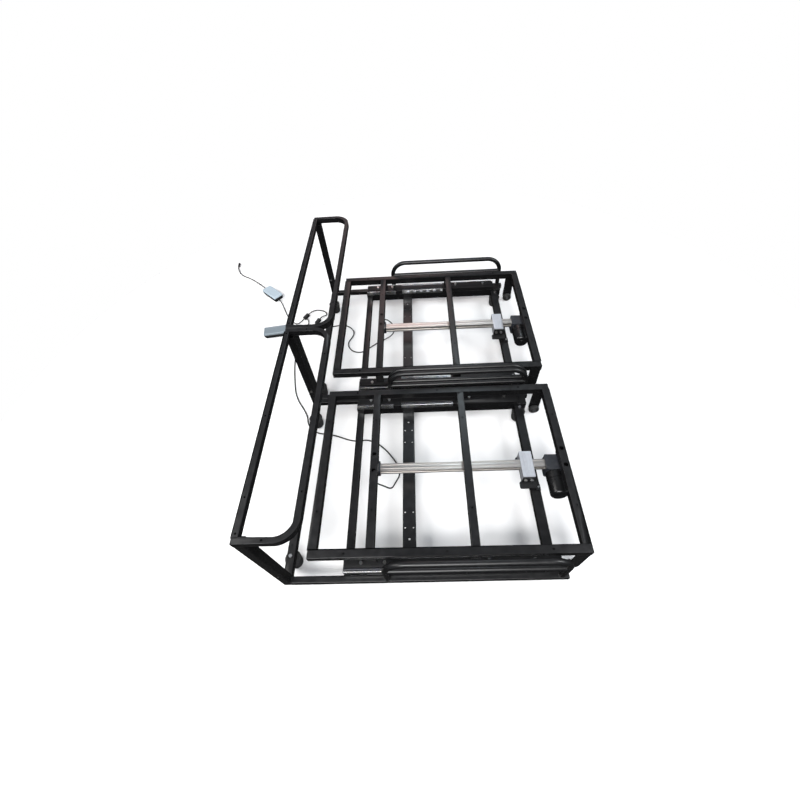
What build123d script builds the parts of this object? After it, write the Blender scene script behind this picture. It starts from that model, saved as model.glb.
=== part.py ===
from build123d import *
import math
import os

os.makedirs("parts", exist_ok=True)

# ---------------------------------------------------------------- driving values
# millimetres, +Z up, floor at Z = 0, +X is the way the platforms slide out
MODULE_W = 685.0                # one module, rail to rail
MODULES = (("near", 0.0), ("far", MODULE_W))
SHIFT = (-355.0, -685.0)        # brings the box of the rigid pieces onto the origin
AXIS_Y = MODULE_W / 2

# platform
PLAT_L, PLAT_INSET, PLAT_T = 800.0, 42.5, 25.0
PLAT_Y0, PLAT_Y1 = PLAT_INSET, MODULE_W - PLAT_INSET
NOSE = 50.0                     # how far the platform stands out over the floor rails
WALL = 1.5                      # wall of every tube
REAR_CROSS, FRONT_CROSS = 178.5, PLAT_L - 320.0
SIDE_HOLES = (105.0, FRONT_CROSS - 83.0, PLAT_L - 108.0)
BOARD_HOLE, SHELF_HOLE = 6.0, 5.0
BAR_HOLE_Y = 180.0
BIG_HOLE, BIG_HOLE_PITCH = 14.0, 59.0
BIG_HOLES = (AXIS_Y - BIG_HOLE_PITCH / 2, AXIS_Y + BIG_HOLE_PITCH / 2)

# floor base
REAR_X, POST = -90.0, 25.0
FOOT_D, FOOT_H, FOOT_TAPER, FOOT_BORE = 50.0, 47.0, 4.0, 35.0
FOOT_BOLT, FOOT_BOLT_REACH = 8.0, 27.0
RAIL_W, RAIL_H, RAIL_END = 20.0, 20.0, PLAT_L - NOSE
RAIL_Z0, RAIL_Z1 = FOOT_H, FOOT_H + RAIL_H
CROSS_H, FRONT_W, FRONT_BACK = 25.0, 30.0, 30.0
CROSS_TOP = RAIL_Z0 + CROSS_H
FRONT_X1 = RAIL_END - FRONT_BACK
FRONT_X0 = FRONT_X1 - FRONT_W
STUB_H, SPIGOT_H, SPIGOT_T, SPIGOT_GAP = 74.0, 45.0, 1.9, 0.1
STUB_TOP = RAIL_Z0 + STUB_H
POST_BOLT, POST_BOLT_UP = 6.0, 25.0
PLATE_X0, PLATE_W, PLATE_H, PLATE_T = 266.0, 42.0, 15.0, 3.0
PLATE_HOLE_IN, PLATE_HOLES_Y, PLATE_END_HOLE_Y = 8.0, (89.5, 140.5), 53.5
PLATE_HOLE, PLATE_END_HOLE = 5.0, 7.0

# shelf
SHELF_TOP, SHELF_D, SHELF_W, SHELF_H, SHELF_R = 445.0, 150.0, 15.0, 20.0, 60.0

# side hoops
HOOP_MARGIN, HOOP_X0, HOOP_FRONT, HOOP_Z, HOOP_R = 0.5, 222.0, 21.0, 210.0, 62.0
HOOP_D = RAIL_W - 2 * HOOP_MARGIN
HOOP_BAR_DOWN = HOOP_R + 3.0
HOOP_Y, HOOP_X1 = RAIL_W / 2, RAIL_END - HOOP_FRONT

# slides
SLIDE_W, SLIDE_H, SLIDE_T = 50.0, 17.0, 2.5
BEAM_GAP, BEAM_RISE, BEAM_T = 4.0, 15.0, 2.5
BEAM_X0, BEAM_X1 = 90.0, RAIL_END - 15.0
BEAM_Y0, BEAM_Y1 = RAIL_W + BEAM_GAP, RAIL_W + SLIDE_W
BEAM_TOP = RAIL_Z1 + BEAM_RISE
LOW_X0 = BEAM_X0 + 1.0
SPACERS = ((BEAM_X0 + 2, 16.0), (160.0, 70.0), (FRONT_CROSS - 60, 40.0), (BEAM_X1 - 95, 95.0))
SLIDE_X0, SLIDE_X1 = BEAM_X0 + 5, BEAM_X1 - 40
SLIDE_CY, SLIDE_TOP = RAIL_W + SLIDE_W / 2, BEAM_TOP + SLIDE_H
WINDOW_L, WINDOW_H, WINDOW_PITCH, WINDOW_START = 13.0, 6.0, 32.0, 35.0
BALL_Z = BEAM_TOP + 10
OUTER_BALL, INNER_BALL, BALL_PLAY, BALL_SEAT = 4.9, 3.9, 0.2, 0.04
BALL_PITCH, STRIP_START, STRIP_L, STRIP_T, STRIP_H = 34.0, 135.0, 330.0, 1.0, 7.0
MEMBER_T = 2.4                  # middle and inner members
MIDDLE_Y0 = RAIL_W + SLIDE_T + BALL_PLAY + OUTER_BALL
MIDDLE_Z0, MIDDLE_Z1 = BEAM_TOP + SLIDE_T + 1.5, SLIDE_TOP - 2
INNER_Y0 = MIDDLE_Y0 + MEMBER_T + INNER_BALL + BALL_PLAY
INNER_H, INNER_TOP = 10.0, SLIDE_TOP + 0.5

# slide brackets
CARRY_T, CARRY_Y0, CARRY_Y1 = 3.0, SLIDE_CY - 13, SLIDE_CY + 19
LIP_GAP, LIP_T, LIP_L, LIP_Z0 = 0.6, 2.8, 30.0, BEAM_TOP + 2
REAR_CARRY_X1, FRONT_CARRY_X0, FRONT_CARRY_X1 = REAR_CROSS + 83.5, FRONT_CROSS - 22, SLIDE_X1 + 5
CARRY_TOP = INNER_TOP + CARRY_T
UPRIGHT_IN, UPRIGHT_T, UPRIGHT_W, WEB_L = 2.0, 3.0, 30.0, 16.0
SLIDE_BOLT, SLIDE_BOLT_HOLE = 6.0, 6.4
SLIDE_BOLT_X = (REAR_CROSS - 32.5, REAR_CROSS + 37.5, FRONT_CROSS + 40, SLIDE_X1 - 44)

# linear actuator, from the front cross tube up to the platform
STAND_H, SADDLE_T, BLOCK_H, BLOCK_GAP = 20.0, 5.0, 34.0, 9.0
SADDLE_Z0 = CROSS_TOP + STAND_H
BLOCK_Z0 = SADDLE_Z0 + SADDLE_T
BLOCK_Z1, AXIS_Z = BLOCK_Z0 + BLOCK_H, BLOCK_Z0 + BLOCK_H / 2
PLAT_Z0 = BLOCK_Z1 + BLOCK_GAP
PLAT_TOP = PLAT_Z0 + PLAT_T
BLOCK_L, BLOCK_REACH = 40.0, (52.0, 41.0)
BLOCK_X0 = FRONT_X0 - 33
BLOCK_X1 = BLOCK_X0 + BLOCK_L
BLOCK_Y0, BLOCK_Y1 = AXIS_Y - BLOCK_REACH[0], AXIS_Y + BLOCK_REACH[1]
LUG, SADDLE_NOSE, FACE_T, STAND_T, STAND_W = 7.0, 24.0, 3.5, 5.0, 22.0
STAND_Y = (BLOCK_Y0 - SADDLE_NOSE / 2, BLOCK_Y1 - 15.5)
STAND_BOLT_X = (FRONT_X0 + 7, FRONT_X1 - 7)
FACE_BOLT, FACE_BOLT_X = 6.0, (BLOCK_X0 + 10, BLOCK_X1 - 10)
ALLOY_W, ALLOY_H, ALLOY_BORE, ALLOY_SLOT = 28.0, 22.0, 18.0, 8.0
RIB_GAP_Y, RIB_GAP_W = 6.5, 2.5
ACT_X0, ACT_X1 = REAR_CROSS + 16.5, PLAT_L - 63
SCREW_D, JOURNAL_D, NUT_D, RUN_GAP = 12.0, 8.0, 17.0, 0.1
HOUSING_W, HOUSING_H, FLANGE_REACH, FLANGE_W = 54.0, 57.0, 36.0, 22.0
MOTOR_D, MOTOR_L, MOTOR_X = 58.0, 84.0, PLAT_L - 33
MOUNT_W, MOUNT_H = 40.0, 31.0
ACT_BOLT, ACT_BOLT_HOLE = 8.0, 8.4

# legs and wheels
LEG_W, LEG_T, LEG_GAP = 40.0, 3.0, 6.0
WHEEL_D, WHEEL_W, WHEEL_GAP, WHEEL_BACK = 40.0, 14.0, 1.0, 22.0
WHEEL_X = PLAT_L - WHEEL_BACK
AXLE_D, AXLE_HEAD = 8.0, 14.0

LEAD_D = 5.0


# ---------------------------------------------------------------- helpers
def span(x0, x1, y0, y1, z0, z1):
    """A box from its six limits."""
    return Pos((x0 + x1) / 2, (y0 + y1) / 2, (z0 + z1) / 2) * Box(x1 - x0, y1 - y0, z1 - z0)


def rod(d, p, q):
    """A round bar from point p to point q."""
    p, q = Vector(*p), Vector(*q)
    return Plane(origin=p, z_dir=(q - p)) * Cylinder(
        d / 2, (q - p).length, align=(Align.CENTER, Align.CENTER, Align.MIN))


def hole_down(d, x, y, z, depth=5.0):
    """A drill down through the wall whose outer face is at z."""
    return rod(d, (x, y, z - depth), (x, y, z + depth))


def tube_x(x0, x1, y0, y1, z0, z1):
    """A square tube along X, with welded ends."""
    core = span(x0 + WALL, x1 - WALL, y0 + WALL, y1 - WALL, z0 + WALL, z1 - WALL)
    return span(x0, x1, y0, y1, z0, z1) - core


def tube_y(x0, x1, y0, y1, z0, z1):
    """A square tube along Y, open at both ends."""
    return span(x0, x1, y0, y1, z0, z1) - span(x0 + WALL, x1 - WALL, y0 - 1, y1 + 1, z0 + WALL, z1 - WALL)


def tube_z(x0, x1, y0, y1, z0, z1, wall=WALL):
    """A square tube along Z, open at both ends."""
    return span(x0, x1, y0, y1, z0, z1) - span(x0 + wall, x1 - wall, y0 + wall, y1 - wall, z0 - 1, z1 + 1)


def hex_bolt(p, direction, shank, length, head, head_h):
    """A hexagon bolt, with its head's seat at p and its shank running along direction."""
    at = Plane(origin=p, z_dir=direction)
    body = Cylinder(shank / 2, length, align=(Align.CENTER, Align.CENTER, Align.MIN))
    cap = Pos(0, 0, -head_h) * extrude(RegularPolygon(head / 2, 6), head_h)
    return at * (body + cap)


def mirrored(y):
    """The same place on the other side of a module."""
    return MODULE_W - y


def both_sides(make):
    """The near-side shape and its mirror image about the module's middle."""
    one = make()
    other = one.mirror(Plane(origin=(0, AXIS_Y, 0), z_dir=(0, 1, 0)))
    return [one, other]


def profile_x(points, x0, x1):
    """A closed (y, z) outline run along X."""
    face = make_face(Plane.YZ * Polyline(*points, close=True))
    return Pos(x0, 0, 0) * extrude(face, x1 - x0)


def place(shapes, dy):
    """One compound of separate solids, moved to its module and to the shared origin."""
    solids = [solid for shape in shapes for solid in shape.solids()]
    moved = [Pos(SHIFT[0], SHIFT[1] + dy, 0) * s for s in solids]
    return moved[0] if len(moved) == 1 else Compound(children=moved)


def out(name, shapes, dy=0.0):
    export_step(place(shapes, dy), "parts/" + name + ".step")


# ---------------------------------------------------------------- base of one module
FOOT_X = (REAR_X + POST / 2, FRONT_X1 - 10.5)
FOOT_Y = (BEAM_Y1 + 8, mirrored(BEAM_Y1 + 8))
STRAP_HOLES = (32.0, 56.0)      # from a rear foot's middle, in the rear tube


def base_frame():
    """Two floor rails with their spacers, three cross tubes and the post stubs."""
    def rail():
        return tube_x(REAR_X + POST, RAIL_END, 0, RAIL_W, RAIL_Z0, RAIL_Z1)

    def stub():
        x1, inner = REAR_X + POST, WALL + SPIGOT_GAP
        body = tube_z(REAR_X, x1, 0, POST, RAIL_Z0, STUB_TOP)
        body += tube_z(REAR_X + WALL, x1 - WALL, WALL, POST - WALL, STUB_TOP - 40, STUB_TOP,
                       SPIGOT_T + SPIGOT_GAP)
        body += tube_z(REAR_X + inner, x1 - inner, inner, POST - inner, STUB_TOP, STUB_TOP + SPIGOT_H,
                       SPIGOT_T)
        x, z = REAR_X + POST / 2, STUB_TOP + POST_BOLT_UP
        return body - rod(POST_BOLT + 0.4, (x, -1, z), (x, POST + 1, z))

    def spacers():
        return Compound(children=[span(x, x + length, RAIL_W, BEAM_Y0, RAIL_Z0, RAIL_Z1)
                                  for x, length in SPACERS])

    rear = tube_y(REAR_X, REAR_X + POST, POST, mirrored(POST), RAIL_Z0, CROSS_TOP)
    low = tube_y(LOW_X0, LOW_X0 + POST, BEAM_Y1, mirrored(BEAM_Y1), RAIL_Z0, RAIL_Z1)
    front = tube_y(FRONT_X0, FRONT_X1, BEAM_Y1, mirrored(BEAM_Y1), RAIL_Z0, CROSS_TOP)
    for y in FOOT_Y:
        rear -= rod(FOOT_BOLT + 0.4, (FOOT_X[0], y, RAIL_Z0 - 5), (FOOT_X[0], y, CROSS_TOP + 5))
        front -= rod(FOOT_BOLT + 0.4, (FOOT_X[1], y, RAIL_Z0 - 5), (FOOT_X[1], y, CROSS_TOP + 5))
    for along in STRAP_HOLES:
        for y in (FOOT_Y[0] + along, FOOT_Y[1] - along):
            rear -= hole_down(SHELF_HOLE, FOOT_X[0], y, CROSS_TOP)
    for x in STAND_BOLT_X:
        for y in STAND_Y:
            front -= hole_down(4.2, x, y, CROSS_TOP)
    return both_sides(rail) + both_sides(stub) + both_sides(spacers) + [rear, low, front]


def cross_plate():
    """The perforated cross plate: a shallow channel, open downwards."""
    y0, y1, top, x1 = BEAM_Y1, mirrored(BEAM_Y1), RAIL_Z0 + PLATE_H, PLATE_X0 + PLATE_W
    body = span(PLATE_X0, x1, y0, y1, RAIL_Z0, top)
    body -= span(PLATE_X0 + PLATE_T, x1 - PLATE_T, y0 - 1, y1 + 1, RAIL_Z0 - 1, top - PLATE_T)
    for along in PLATE_HOLES_Y:
        for y in (y0 + along, y1 - along):
            for x in (PLATE_X0 + PLATE_HOLE_IN, x1 - PLATE_HOLE_IN):
                body -= hole_down(PLATE_HOLE, x, y, top)
    for y in (y0 + PLATE_END_HOLE_Y, y1 - PLATE_END_HOLE_Y):
        body -= hole_down(PLATE_END_HOLE, PLATE_X0 + PLATE_W / 2, y, top)
    return [body]


def feet():
    """Four round rubber feet, each with a blind bore for its bolt."""
    solids = []
    for x in FOOT_X:
        for y in FOOT_Y:
            foot = Pos(x, y, FOOT_H / 2) * Cone(FOOT_D / 2 - FOOT_TAPER, FOOT_D / 2, FOOT_H)
            solids.append(foot - rod(FOOT_BOLT + 0.4, (x, y, FOOT_H - FOOT_BORE), (x, y, FOOT_H + 5)))
    return solids


def base_bolts():
    """Foot bolts, post bolts, and the saddle's face and stand bolts."""
    bolts = []
    for x in FOOT_X:
        for y in FOOT_Y:
            bolts.append(hex_bolt((x, y, CROSS_TOP), (0, 0, -1), FOOT_BOLT, CROSS_H + FOOT_BOLT_REACH, 11, 4))
    x, z, reach = REAR_X + POST / 2, STUB_TOP + POST_BOLT_UP, POST - 0.5
    bolts.append(hex_bolt((x, POST, z), (0, -1, 0), POST_BOLT, reach, 10, 4))
    bolts.append(hex_bolt((x, mirrored(POST), z), (0, 1, 0), POST_BOLT, reach, 10, 4))
    for x in FACE_BOLT_X:
        bolts.append(hex_bolt((x, BLOCK_Y0 - FACE_T, AXIS_Z), (0, 1, 0), FACE_BOLT, 14, 11, 4))
    for x in STAND_BOLT_X:
        for y in STAND_Y:
            bolts.append(hex_bolt((x, y, CROSS_TOP + SADDLE_T), (0, 0, -1), 4, SADDLE_T + 3, 7, 3))
    return bolts


def side_beam():
    """The channel on a floor rail's inner side that the slide lies on, open downwards."""
    a, b, t = BEAM_Y0, BEAM_Y1, BEAM_T
    points = [(a, RAIL_Z0), (a + t, RAIL_Z0), (a + t, BEAM_TOP - t), (b - t, BEAM_TOP - t),
              (b - t, RAIL_Z0), (b, RAIL_Z0), (b, BEAM_TOP), (a, BEAM_TOP)]
    return profile_x(points, BEAM_X0, BEAM_X1)


# ---------------------------------------------------------------- shelf at the rear
SHELF_REAR_HOLES = (24.0, 110.0)
SHELF_FRONT_HOLE = 120.0
SHELF_END_HOLE_X = 70.0
POST_HOLE, POST_HOLE_DOWN = 6.0, 75.0


def u_block(inset, x_start, z0, z1):
    """A slab with the shelf's two rounded front corners, set in by inset."""
    x1 = REAR_X + SHELF_D - inset
    slab = span(x_start, x1, inset, mirrored(inset), z0, z1)
    corners = [edge for edge in slab.edges().filter_by(Axis.Z) if edge.center().X > x1 - 1]
    return fillet(corners, SHELF_R - inset)


def shelf_tubes():
    """The rear tube, and the bent tube that makes the two ends and the front and clasps it."""
    z0, z1 = SHELF_TOP - SHELF_H, SHELF_TOP
    x0, joint = REAR_X, REAR_X + SHELF_W
    end, y0 = SHELF_W, SHELF_W + WALL
    rear = span(x0, joint, end, mirrored(end), z0, z1)
    rear -= span(x0 + WALL, joint - WALL, y0, mirrored(y0), z0 + WALL, z1 - WALL)
    bent = u_block(0, x0, z0, z1) - u_block(SHELF_W, x0 - 1, z0 - 1, z1 + 1)
    bore = u_block(WALL, x0 + WALL, z0 + WALL, z1 - WALL)
    bent -= bore - u_block(SHELF_W - WALL, x0 - 1, z0 - 1, z1 + 1)
    for y in (*SHELF_REAR_HOLES, AXIS_Y, *(mirrored(y) for y in SHELF_REAR_HOLES)):
        rear -= hole_down(SHELF_HOLE, x0 + SHELF_W / 2, y, z1)
    for y in (SHELF_FRONT_HOLE, mirrored(SHELF_FRONT_HOLE)):
        bent -= hole_down(SHELF_HOLE, x0 + SHELF_D - SHELF_W / 2, y, z1)
    for y in (SHELF_W / 2, mirrored(SHELF_W / 2)):
        bent -= hole_down(SHELF_HOLE, x0 + SHELF_END_HOLE_X, y, z1)
    return [rear, bent]


def shelf_post():
    """An upright that slips over its stub's spigot and carries one end of the shelf."""
    x, z = REAR_X + POST / 2, STUB_TOP + POST_BOLT_UP
    body = tube_z(REAR_X, REAR_X + POST, 0, POST, STUB_TOP, SHELF_TOP - SHELF_H)
    body -= rod(POST_BOLT + 0.4, (x, -1, z), (x, POST + 1, z))
    front, high = REAR_X + POST, SHELF_TOP - POST_HOLE_DOWN
    return body - rod(POST_HOLE, (front - 4, POST / 2, high), (front + 4, POST / 2, high))


# ---------------------------------------------------------------- side hoops
def side_hoop():
    """A bent round-tube hoop standing on the floor rail, with a straight bar between its legs."""
    y, r, z = HOOP_Y, HOOP_R, HOOP_Z - HOOP_R
    plane = Plane(origin=(0, y, 0), x_dir=(1, 0, 0), z_dir=(0, -1, 0))
    body = rod(HOOP_D, (HOOP_X0, y, RAIL_Z1), (HOOP_X0, y, z))
    body += rod(HOOP_D, (HOOP_X1, y, RAIL_Z1), (HOOP_X1, y, z))
    body += rod(HOOP_D, (HOOP_X0 + r, y, HOOP_Z), (HOOP_X1 - r, y, HOOP_Z))
    bar = HOOP_Z - HOOP_BAR_DOWN
    body += rod(HOOP_D, (HOOP_X0, y, bar), (HOOP_X1, y, bar))
    for x, start in ((HOOP_X0 + r, 90), (HOOP_X1 - r, 0)):
        path = plane * CenterArc((x, z), r, start, 90)
        ring = Plane(origin=path @ 0, z_dir=path % 0) * Circle(HOOP_D / 2)
        body += sweep(ring, path)
    return body


# ---------------------------------------------------------------- three-part ball slides
def channel_up(y0, z0, z1, t):
    """A channel's outline about the slide's middle, open upwards."""
    y1 = 2 * SLIDE_CY - y0
    return [(y0, z0), (y1, z0), (y1, z1), (y1 - t, z1), (y1 - t, z0 + t), (y0 + t, z0 + t), (y0 + t, z1),
            (y0, z1)]


def outer_rail():
    """The fixed member: a flat-lying channel with a row of windows in its inner wall."""
    body = profile_x(channel_up(RAIL_W, BEAM_TOP, SLIDE_TOP, SLIDE_T), SLIDE_X0, SLIDE_X1)
    x = SLIDE_X0 + WINDOW_START
    while x < SLIDE_X1 - WINDOW_START:
        body -= span(x - WINDOW_L / 2, x + WINDOW_L / 2, BEAM_Y1 - SLIDE_T - 1.5, BEAM_Y1 + 2,
                     BALL_Z - WINDOW_H / 2, BALL_Z + WINDOW_H / 2)
        x += WINDOW_PITCH
    return body


def middle_rail():
    """The member that moves half as far as the platform."""
    return profile_x(channel_up(MIDDLE_Y0, MIDDLE_Z0, MIDDLE_Z1, MEMBER_T), SLIDE_X0, SLIDE_X1)


def inner_rail():
    """The member bolted under the platform's slide brackets."""
    a, b, t = INNER_Y0, 2 * SLIDE_CY - INNER_Y0, MEMBER_T
    low, under = INNER_TOP - INNER_H, INNER_TOP - 2.5
    points = [(a, low), (a + t, low), (a + t, under), (b - t, under), (b - t, low), (b, low),
              (b, INNER_TOP), (a, INNER_TOP)]
    body = profile_x(points, SLIDE_X0, SLIDE_X1)
    for x in SLIDE_BOLT_X:
        body -= hole_down(SLIDE_BOLT_HOLE, x, SLIDE_CY, INNER_TOP)
    return body


def slide_balls():
    """Caged ball strips: a row each side of the middle member and a row each side inside it."""
    solids = []
    x0, end = SLIDE_X0 + STRIP_START, 12.0
    count = 1 + int((STRIP_L - 2 * end) / BALL_PITCH)
    rows = ((OUTER_BALL, MIDDLE_Y0 - OUTER_BALL / 2), (INNER_BALL, MIDDLE_Y0 + MEMBER_T + INNER_BALL / 2))
    for d, y0 in rows:
        for y in (y0, 2 * SLIDE_CY - y0):
            strip = span(x0, x0 + STRIP_L, y - STRIP_T / 2, y + STRIP_T / 2,
                         BALL_Z - STRIP_H / 2, BALL_Z + STRIP_H / 2)
            for i in range(count):
                x = x0 + end + BALL_PITCH * i
                strip -= rod(d + BALL_SEAT, (x, y - 4, BALL_Z), (x, y + 4, BALL_Z))
                solids.append(Pos(x, y, BALL_Z) * Sphere(d / 2))
            solids.append(strip)
    return solids + [s.mirror(Plane(origin=(0, AXIS_Y, 0), z_dir=(0, 1, 0))) for s in solids]


def slide_brackets():
    """The rear and front plates on one slide, each with an upright under a cross bar's end."""
    pieces = []
    lip_y = BEAM_Y1 + LIP_GAP
    for x0, x1, lip_x, cross in (
            (SLIDE_X0, REAR_CARRY_X1, REAR_CARRY_X1 - LIP_L, REAR_CROSS),
            (FRONT_CARRY_X0, FRONT_CARRY_X1, FRONT_CARRY_X0, FRONT_CROSS)):
        body = span(x0, x1, CARRY_Y0, CARRY_Y1, INNER_TOP, CARRY_TOP)
        body += span(lip_x, x1, CARRY_Y1, lip_y + LIP_T, INNER_TOP, CARRY_TOP)
        body += span(lip_x, x1, lip_y, lip_y + LIP_T, LIP_Z0, INNER_TOP)
        y0 = PLAT_Y0 + UPRIGHT_IN
        y1 = y0 + UPRIGHT_T
        body += span(cross - UPRIGHT_W / 2, cross + UPRIGHT_W / 2, y0, y1, CARRY_TOP, PLAT_Z0)
        body += span(cross - UPRIGHT_T / 2, cross + UPRIGHT_T / 2, y1, y1 + WEB_L, CARRY_TOP, PLAT_Z0)
        for x in SLIDE_BOLT_X:
            if x0 < x < x1:
                body -= hole_down(SLIDE_BOLT_HOLE, x, SLIDE_CY, CARRY_TOP)
        pieces.append(body)
    return Compound(children=pieces)


# ---------------------------------------------------------------- sliding platform
def platform_frame():
    """Two side bars, the rear and front bars and two cross bars of square tube."""
    z0, z1 = PLAT_Z0, PLAT_TOP
    pieces = []
    for a, b in ((PLAT_Y0, PLAT_Y0 + PLAT_T), (PLAT_Y1 - PLAT_T, PLAT_Y1)):
        bar = tube_x(0, PLAT_L, a, b, z0, z1)
        for x in SIDE_HOLES:
            bar -= hole_down(BOARD_HOLE, x, (a + b) / 2, z1)
        pieces.append(bar)
    ends = (PLAT_T / 2, PLAT_L - PLAT_T / 2)
    for x in (ends[0], REAR_CROSS, FRONT_CROSS, ends[1]):
        bar = tube_y(x - PLAT_T / 2, x + PLAT_T / 2, PLAT_Y0 + PLAT_T, PLAT_Y1 - PLAT_T, z0, z1)
        for y in (BAR_HOLE_Y, mirrored(BAR_HOLE_Y)):
            bar -= hole_down(BOARD_HOLE, x, y, z1)
        if x in (REAR_CROSS, ends[1]):
            for y in BIG_HOLES:
                bar -= hole_down(BIG_HOLE, x, y, z1)
                bar -= hole_down(ACT_BOLT_HOLE, x, y, z0)
        pieces.append(bar)
    return pieces


def leg_plate():
    """A flat leg with a rounded foot, holding a floor wheel."""
    y, z = PLAT_Y0, LEG_GAP + LEG_W / 2
    body = span(WHEEL_X - LEG_W / 2, WHEEL_X + LEG_W / 2, y, y + LEG_T, z, PLAT_Z0)
    body += rod(LEG_W, (WHEEL_X, y, z), (WHEEL_X, y + LEG_T, z))
    return body - rod(AXLE_D + 0.4, (WHEEL_X, y - 1, WHEEL_D / 2), (WHEEL_X, y + LEG_T + 1, WHEEL_D / 2))


def wheel():
    """A floor wheel beside its leg."""
    y, z = PLAT_Y0 + LEG_T + WHEEL_GAP, WHEEL_D / 2
    body = rod(WHEEL_D, (WHEEL_X, y, z), (WHEEL_X, y + WHEEL_W, z))
    body = fillet(body.edges().filter_by(GeomType.CIRCLE), 2)
    return body - rod(AXLE_D + RUN_GAP, (WHEEL_X, y - 1, z), (WHEEL_X, y + WHEEL_W + 1, z))


def platform_bolts():
    """Slide bolts, wheel axles and the actuator's four mounting bolts."""
    def one_side():
        y, z = PLAT_Y0, WHEEL_D / 2
        end = y + LEG_T + WHEEL_W + 2 * WHEEL_GAP
        group = [hex_bolt((x, SLIDE_CY, CARRY_TOP), (0, 0, -1), SLIDE_BOLT, CARRY_T + 5, 11, 4.5)
                 for x in SLIDE_BOLT_X]
        axle = rod(AXLE_D, (WHEEL_X, y, z), (WHEEL_X, end, z))
        axle += rod(AXLE_HEAD, (WHEEL_X, y - 4, z), (WHEEL_X, y, z))
        axle += rod(AXLE_HEAD - 1, (WHEEL_X, end, z), (WHEEL_X, end + 3, z))
        return group + [axle]

    one = one_side()
    bolts = one + [b.mirror(Plane(origin=(0, AXIS_Y, 0), z_dir=(0, 1, 0))) for b in one]
    for x in (REAR_CROSS, PLAT_L - PLAT_T / 2):
        for y in BIG_HOLES:
            bolts.append(hex_bolt((x, y, PLAT_Z0 + WALL), (0, 0, -1), ACT_BOLT, WALL + BLOCK_GAP, 13, 9))
    return bolts


# ---------------------------------------------------------------- linear actuator
def actuator_rail():
    """The ribbed aluminium rail, slotted underneath for the nut's neck."""
    y, z, a, b = AXIS_Y, AXIS_Z, ACT_X0 - 1, ACT_X1 + 1
    body = span(ACT_X0, ACT_X1, y - ALLOY_W / 2, y + ALLOY_W / 2, z - ALLOY_H / 2, z + ALLOY_H / 2)
    body -= rod(ALLOY_BORE, (a, y, z), (b, y, z))
    body -= span(a, b, y - ALLOY_SLOT / 2, y + ALLOY_SLOT / 2, z - ALLOY_H / 2 - 1, z)
    for s in (-1, 1):
        groove, side = y + s * RIB_GAP_Y, y + s * ALLOY_W / 2
        top = z + ALLOY_H / 2
        body -= span(a, b, groove - RIB_GAP_W / 2, groove + RIB_GAP_W / 2, top - 1, top + 1)
        body -= span(a, b, side - 1.5, side + 1.5, z - 3, z + 3)
    return [body]


def lead_screw():
    """The screw that turns inside the rail."""
    y, z, play = AXIS_Y, AXIS_Z, 1.0
    body = rod(SCREW_D, (ACT_X0 + play, y, z), (ACT_X1 - play, y, z))
    body += rod(JOURNAL_D, (ACT_X0 - 14, y, z), (ACT_X0 + play, y, z))
    body += rod(JOURNAL_D, (ACT_X1 - play, y, z), (ACT_X1 + 12, y, z))
    return [body]


def drive_nut():
    """The nut on the screw, with a neck through the rail's slot down to the block."""
    y, z, floor = AXIS_Y, AXIS_Z, ALLOY_H / 2 + 1
    x0, x1, neck = BLOCK_X0 + 2, BLOCK_X1 - 2, ALLOY_SLOT / 2 - 0.6
    body = rod(NUT_D, (x0, y, z), (x1, y, z))
    body += span(x0 + 4, x1 - 4, y - neck, y + neck, z - floor, z - 5)
    return [body - rod(SCREW_D + RUN_GAP, (x0 - 5, y, z), (x1 + 5, y, z))]


def slider_block():
    """The block that the rail runs through; it stays with the base."""
    y, z, a, b = AXIS_Y, AXIS_Z, BLOCK_X0, BLOCK_X1
    body = span(a, b, BLOCK_Y0, BLOCK_Y1, BLOCK_Z0, BLOCK_Z1)
    body = fillet(body.edges().filter_by(Axis.Z), 3)
    body -= span(a - 5, b + 5, y - ALLOY_W / 2 - 0.5, y + ALLOY_W / 2 + 0.5,
                 z - ALLOY_H / 2 - 1, z + ALLOY_H / 2 + 0.5)
    for share in (1, 2, 3):
        x = a + BLOCK_L * share / 4
        body -= span(x - 0.6, x + 0.6, BLOCK_Y0 + 7, BLOCK_Y1 - 7, BLOCK_Z1 - 0.8, BLOCK_Z1 + 1)
    for x in FACE_BOLT_X:
        body -= rod(FACE_BOLT + 0.2, (x, BLOCK_Y0 - 1, z), (x, BLOCK_Y0 + 12, z))
    return [body]


def slider_bracket():
    """The saddle under the slider block: plate, end face, lugs and two stands on the front tube."""
    x0, x1, nose = BLOCK_X0 - LUG, BLOCK_X1 + LUG, BLOCK_Y0 - SADDLE_NOSE
    body = span(BLOCK_X0, BLOCK_X1, BLOCK_Y0 - FACE_T, BLOCK_Y1, SADDLE_Z0, BLOCK_Z0)
    for y0, y1 in ((nose, BLOCK_Y0), (BLOCK_Y1 - 27, BLOCK_Y1 - 4)):
        body += fillet(span(x0, x1, y0, y1, SADDLE_Z0, BLOCK_Z0).edges().filter_by(Axis.Z), 5)
    body += span(BLOCK_X0, BLOCK_X1, BLOCK_Y0 - FACE_T, BLOCK_Y0, BLOCK_Z0, BLOCK_Z1 - 3)
    for x in FACE_BOLT_X:
        body -= rod(FACE_BOLT + 0.4, (x, BLOCK_Y0 - FACE_T - 1, AXIS_Z), (x, BLOCK_Y0 + 1, AXIS_Z))
    for y in STAND_Y:
        for side in (-1, 1):
            edge = y + side * STAND_W / 2
            a, b = sorted((edge, edge - side * STAND_T))
            body += span(FRONT_X0, x1, a, b, CROSS_TOP, SADDLE_Z0)
        body += span(FRONT_X0, FRONT_X1, y - STAND_W / 2, y + STAND_W / 2, CROSS_TOP, CROSS_TOP + SADDLE_T)
        for x in STAND_BOLT_X:
            body -= hole_down(4.4, x, y, CROSS_TOP + SADDLE_T, 6)
    return [body]


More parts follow.
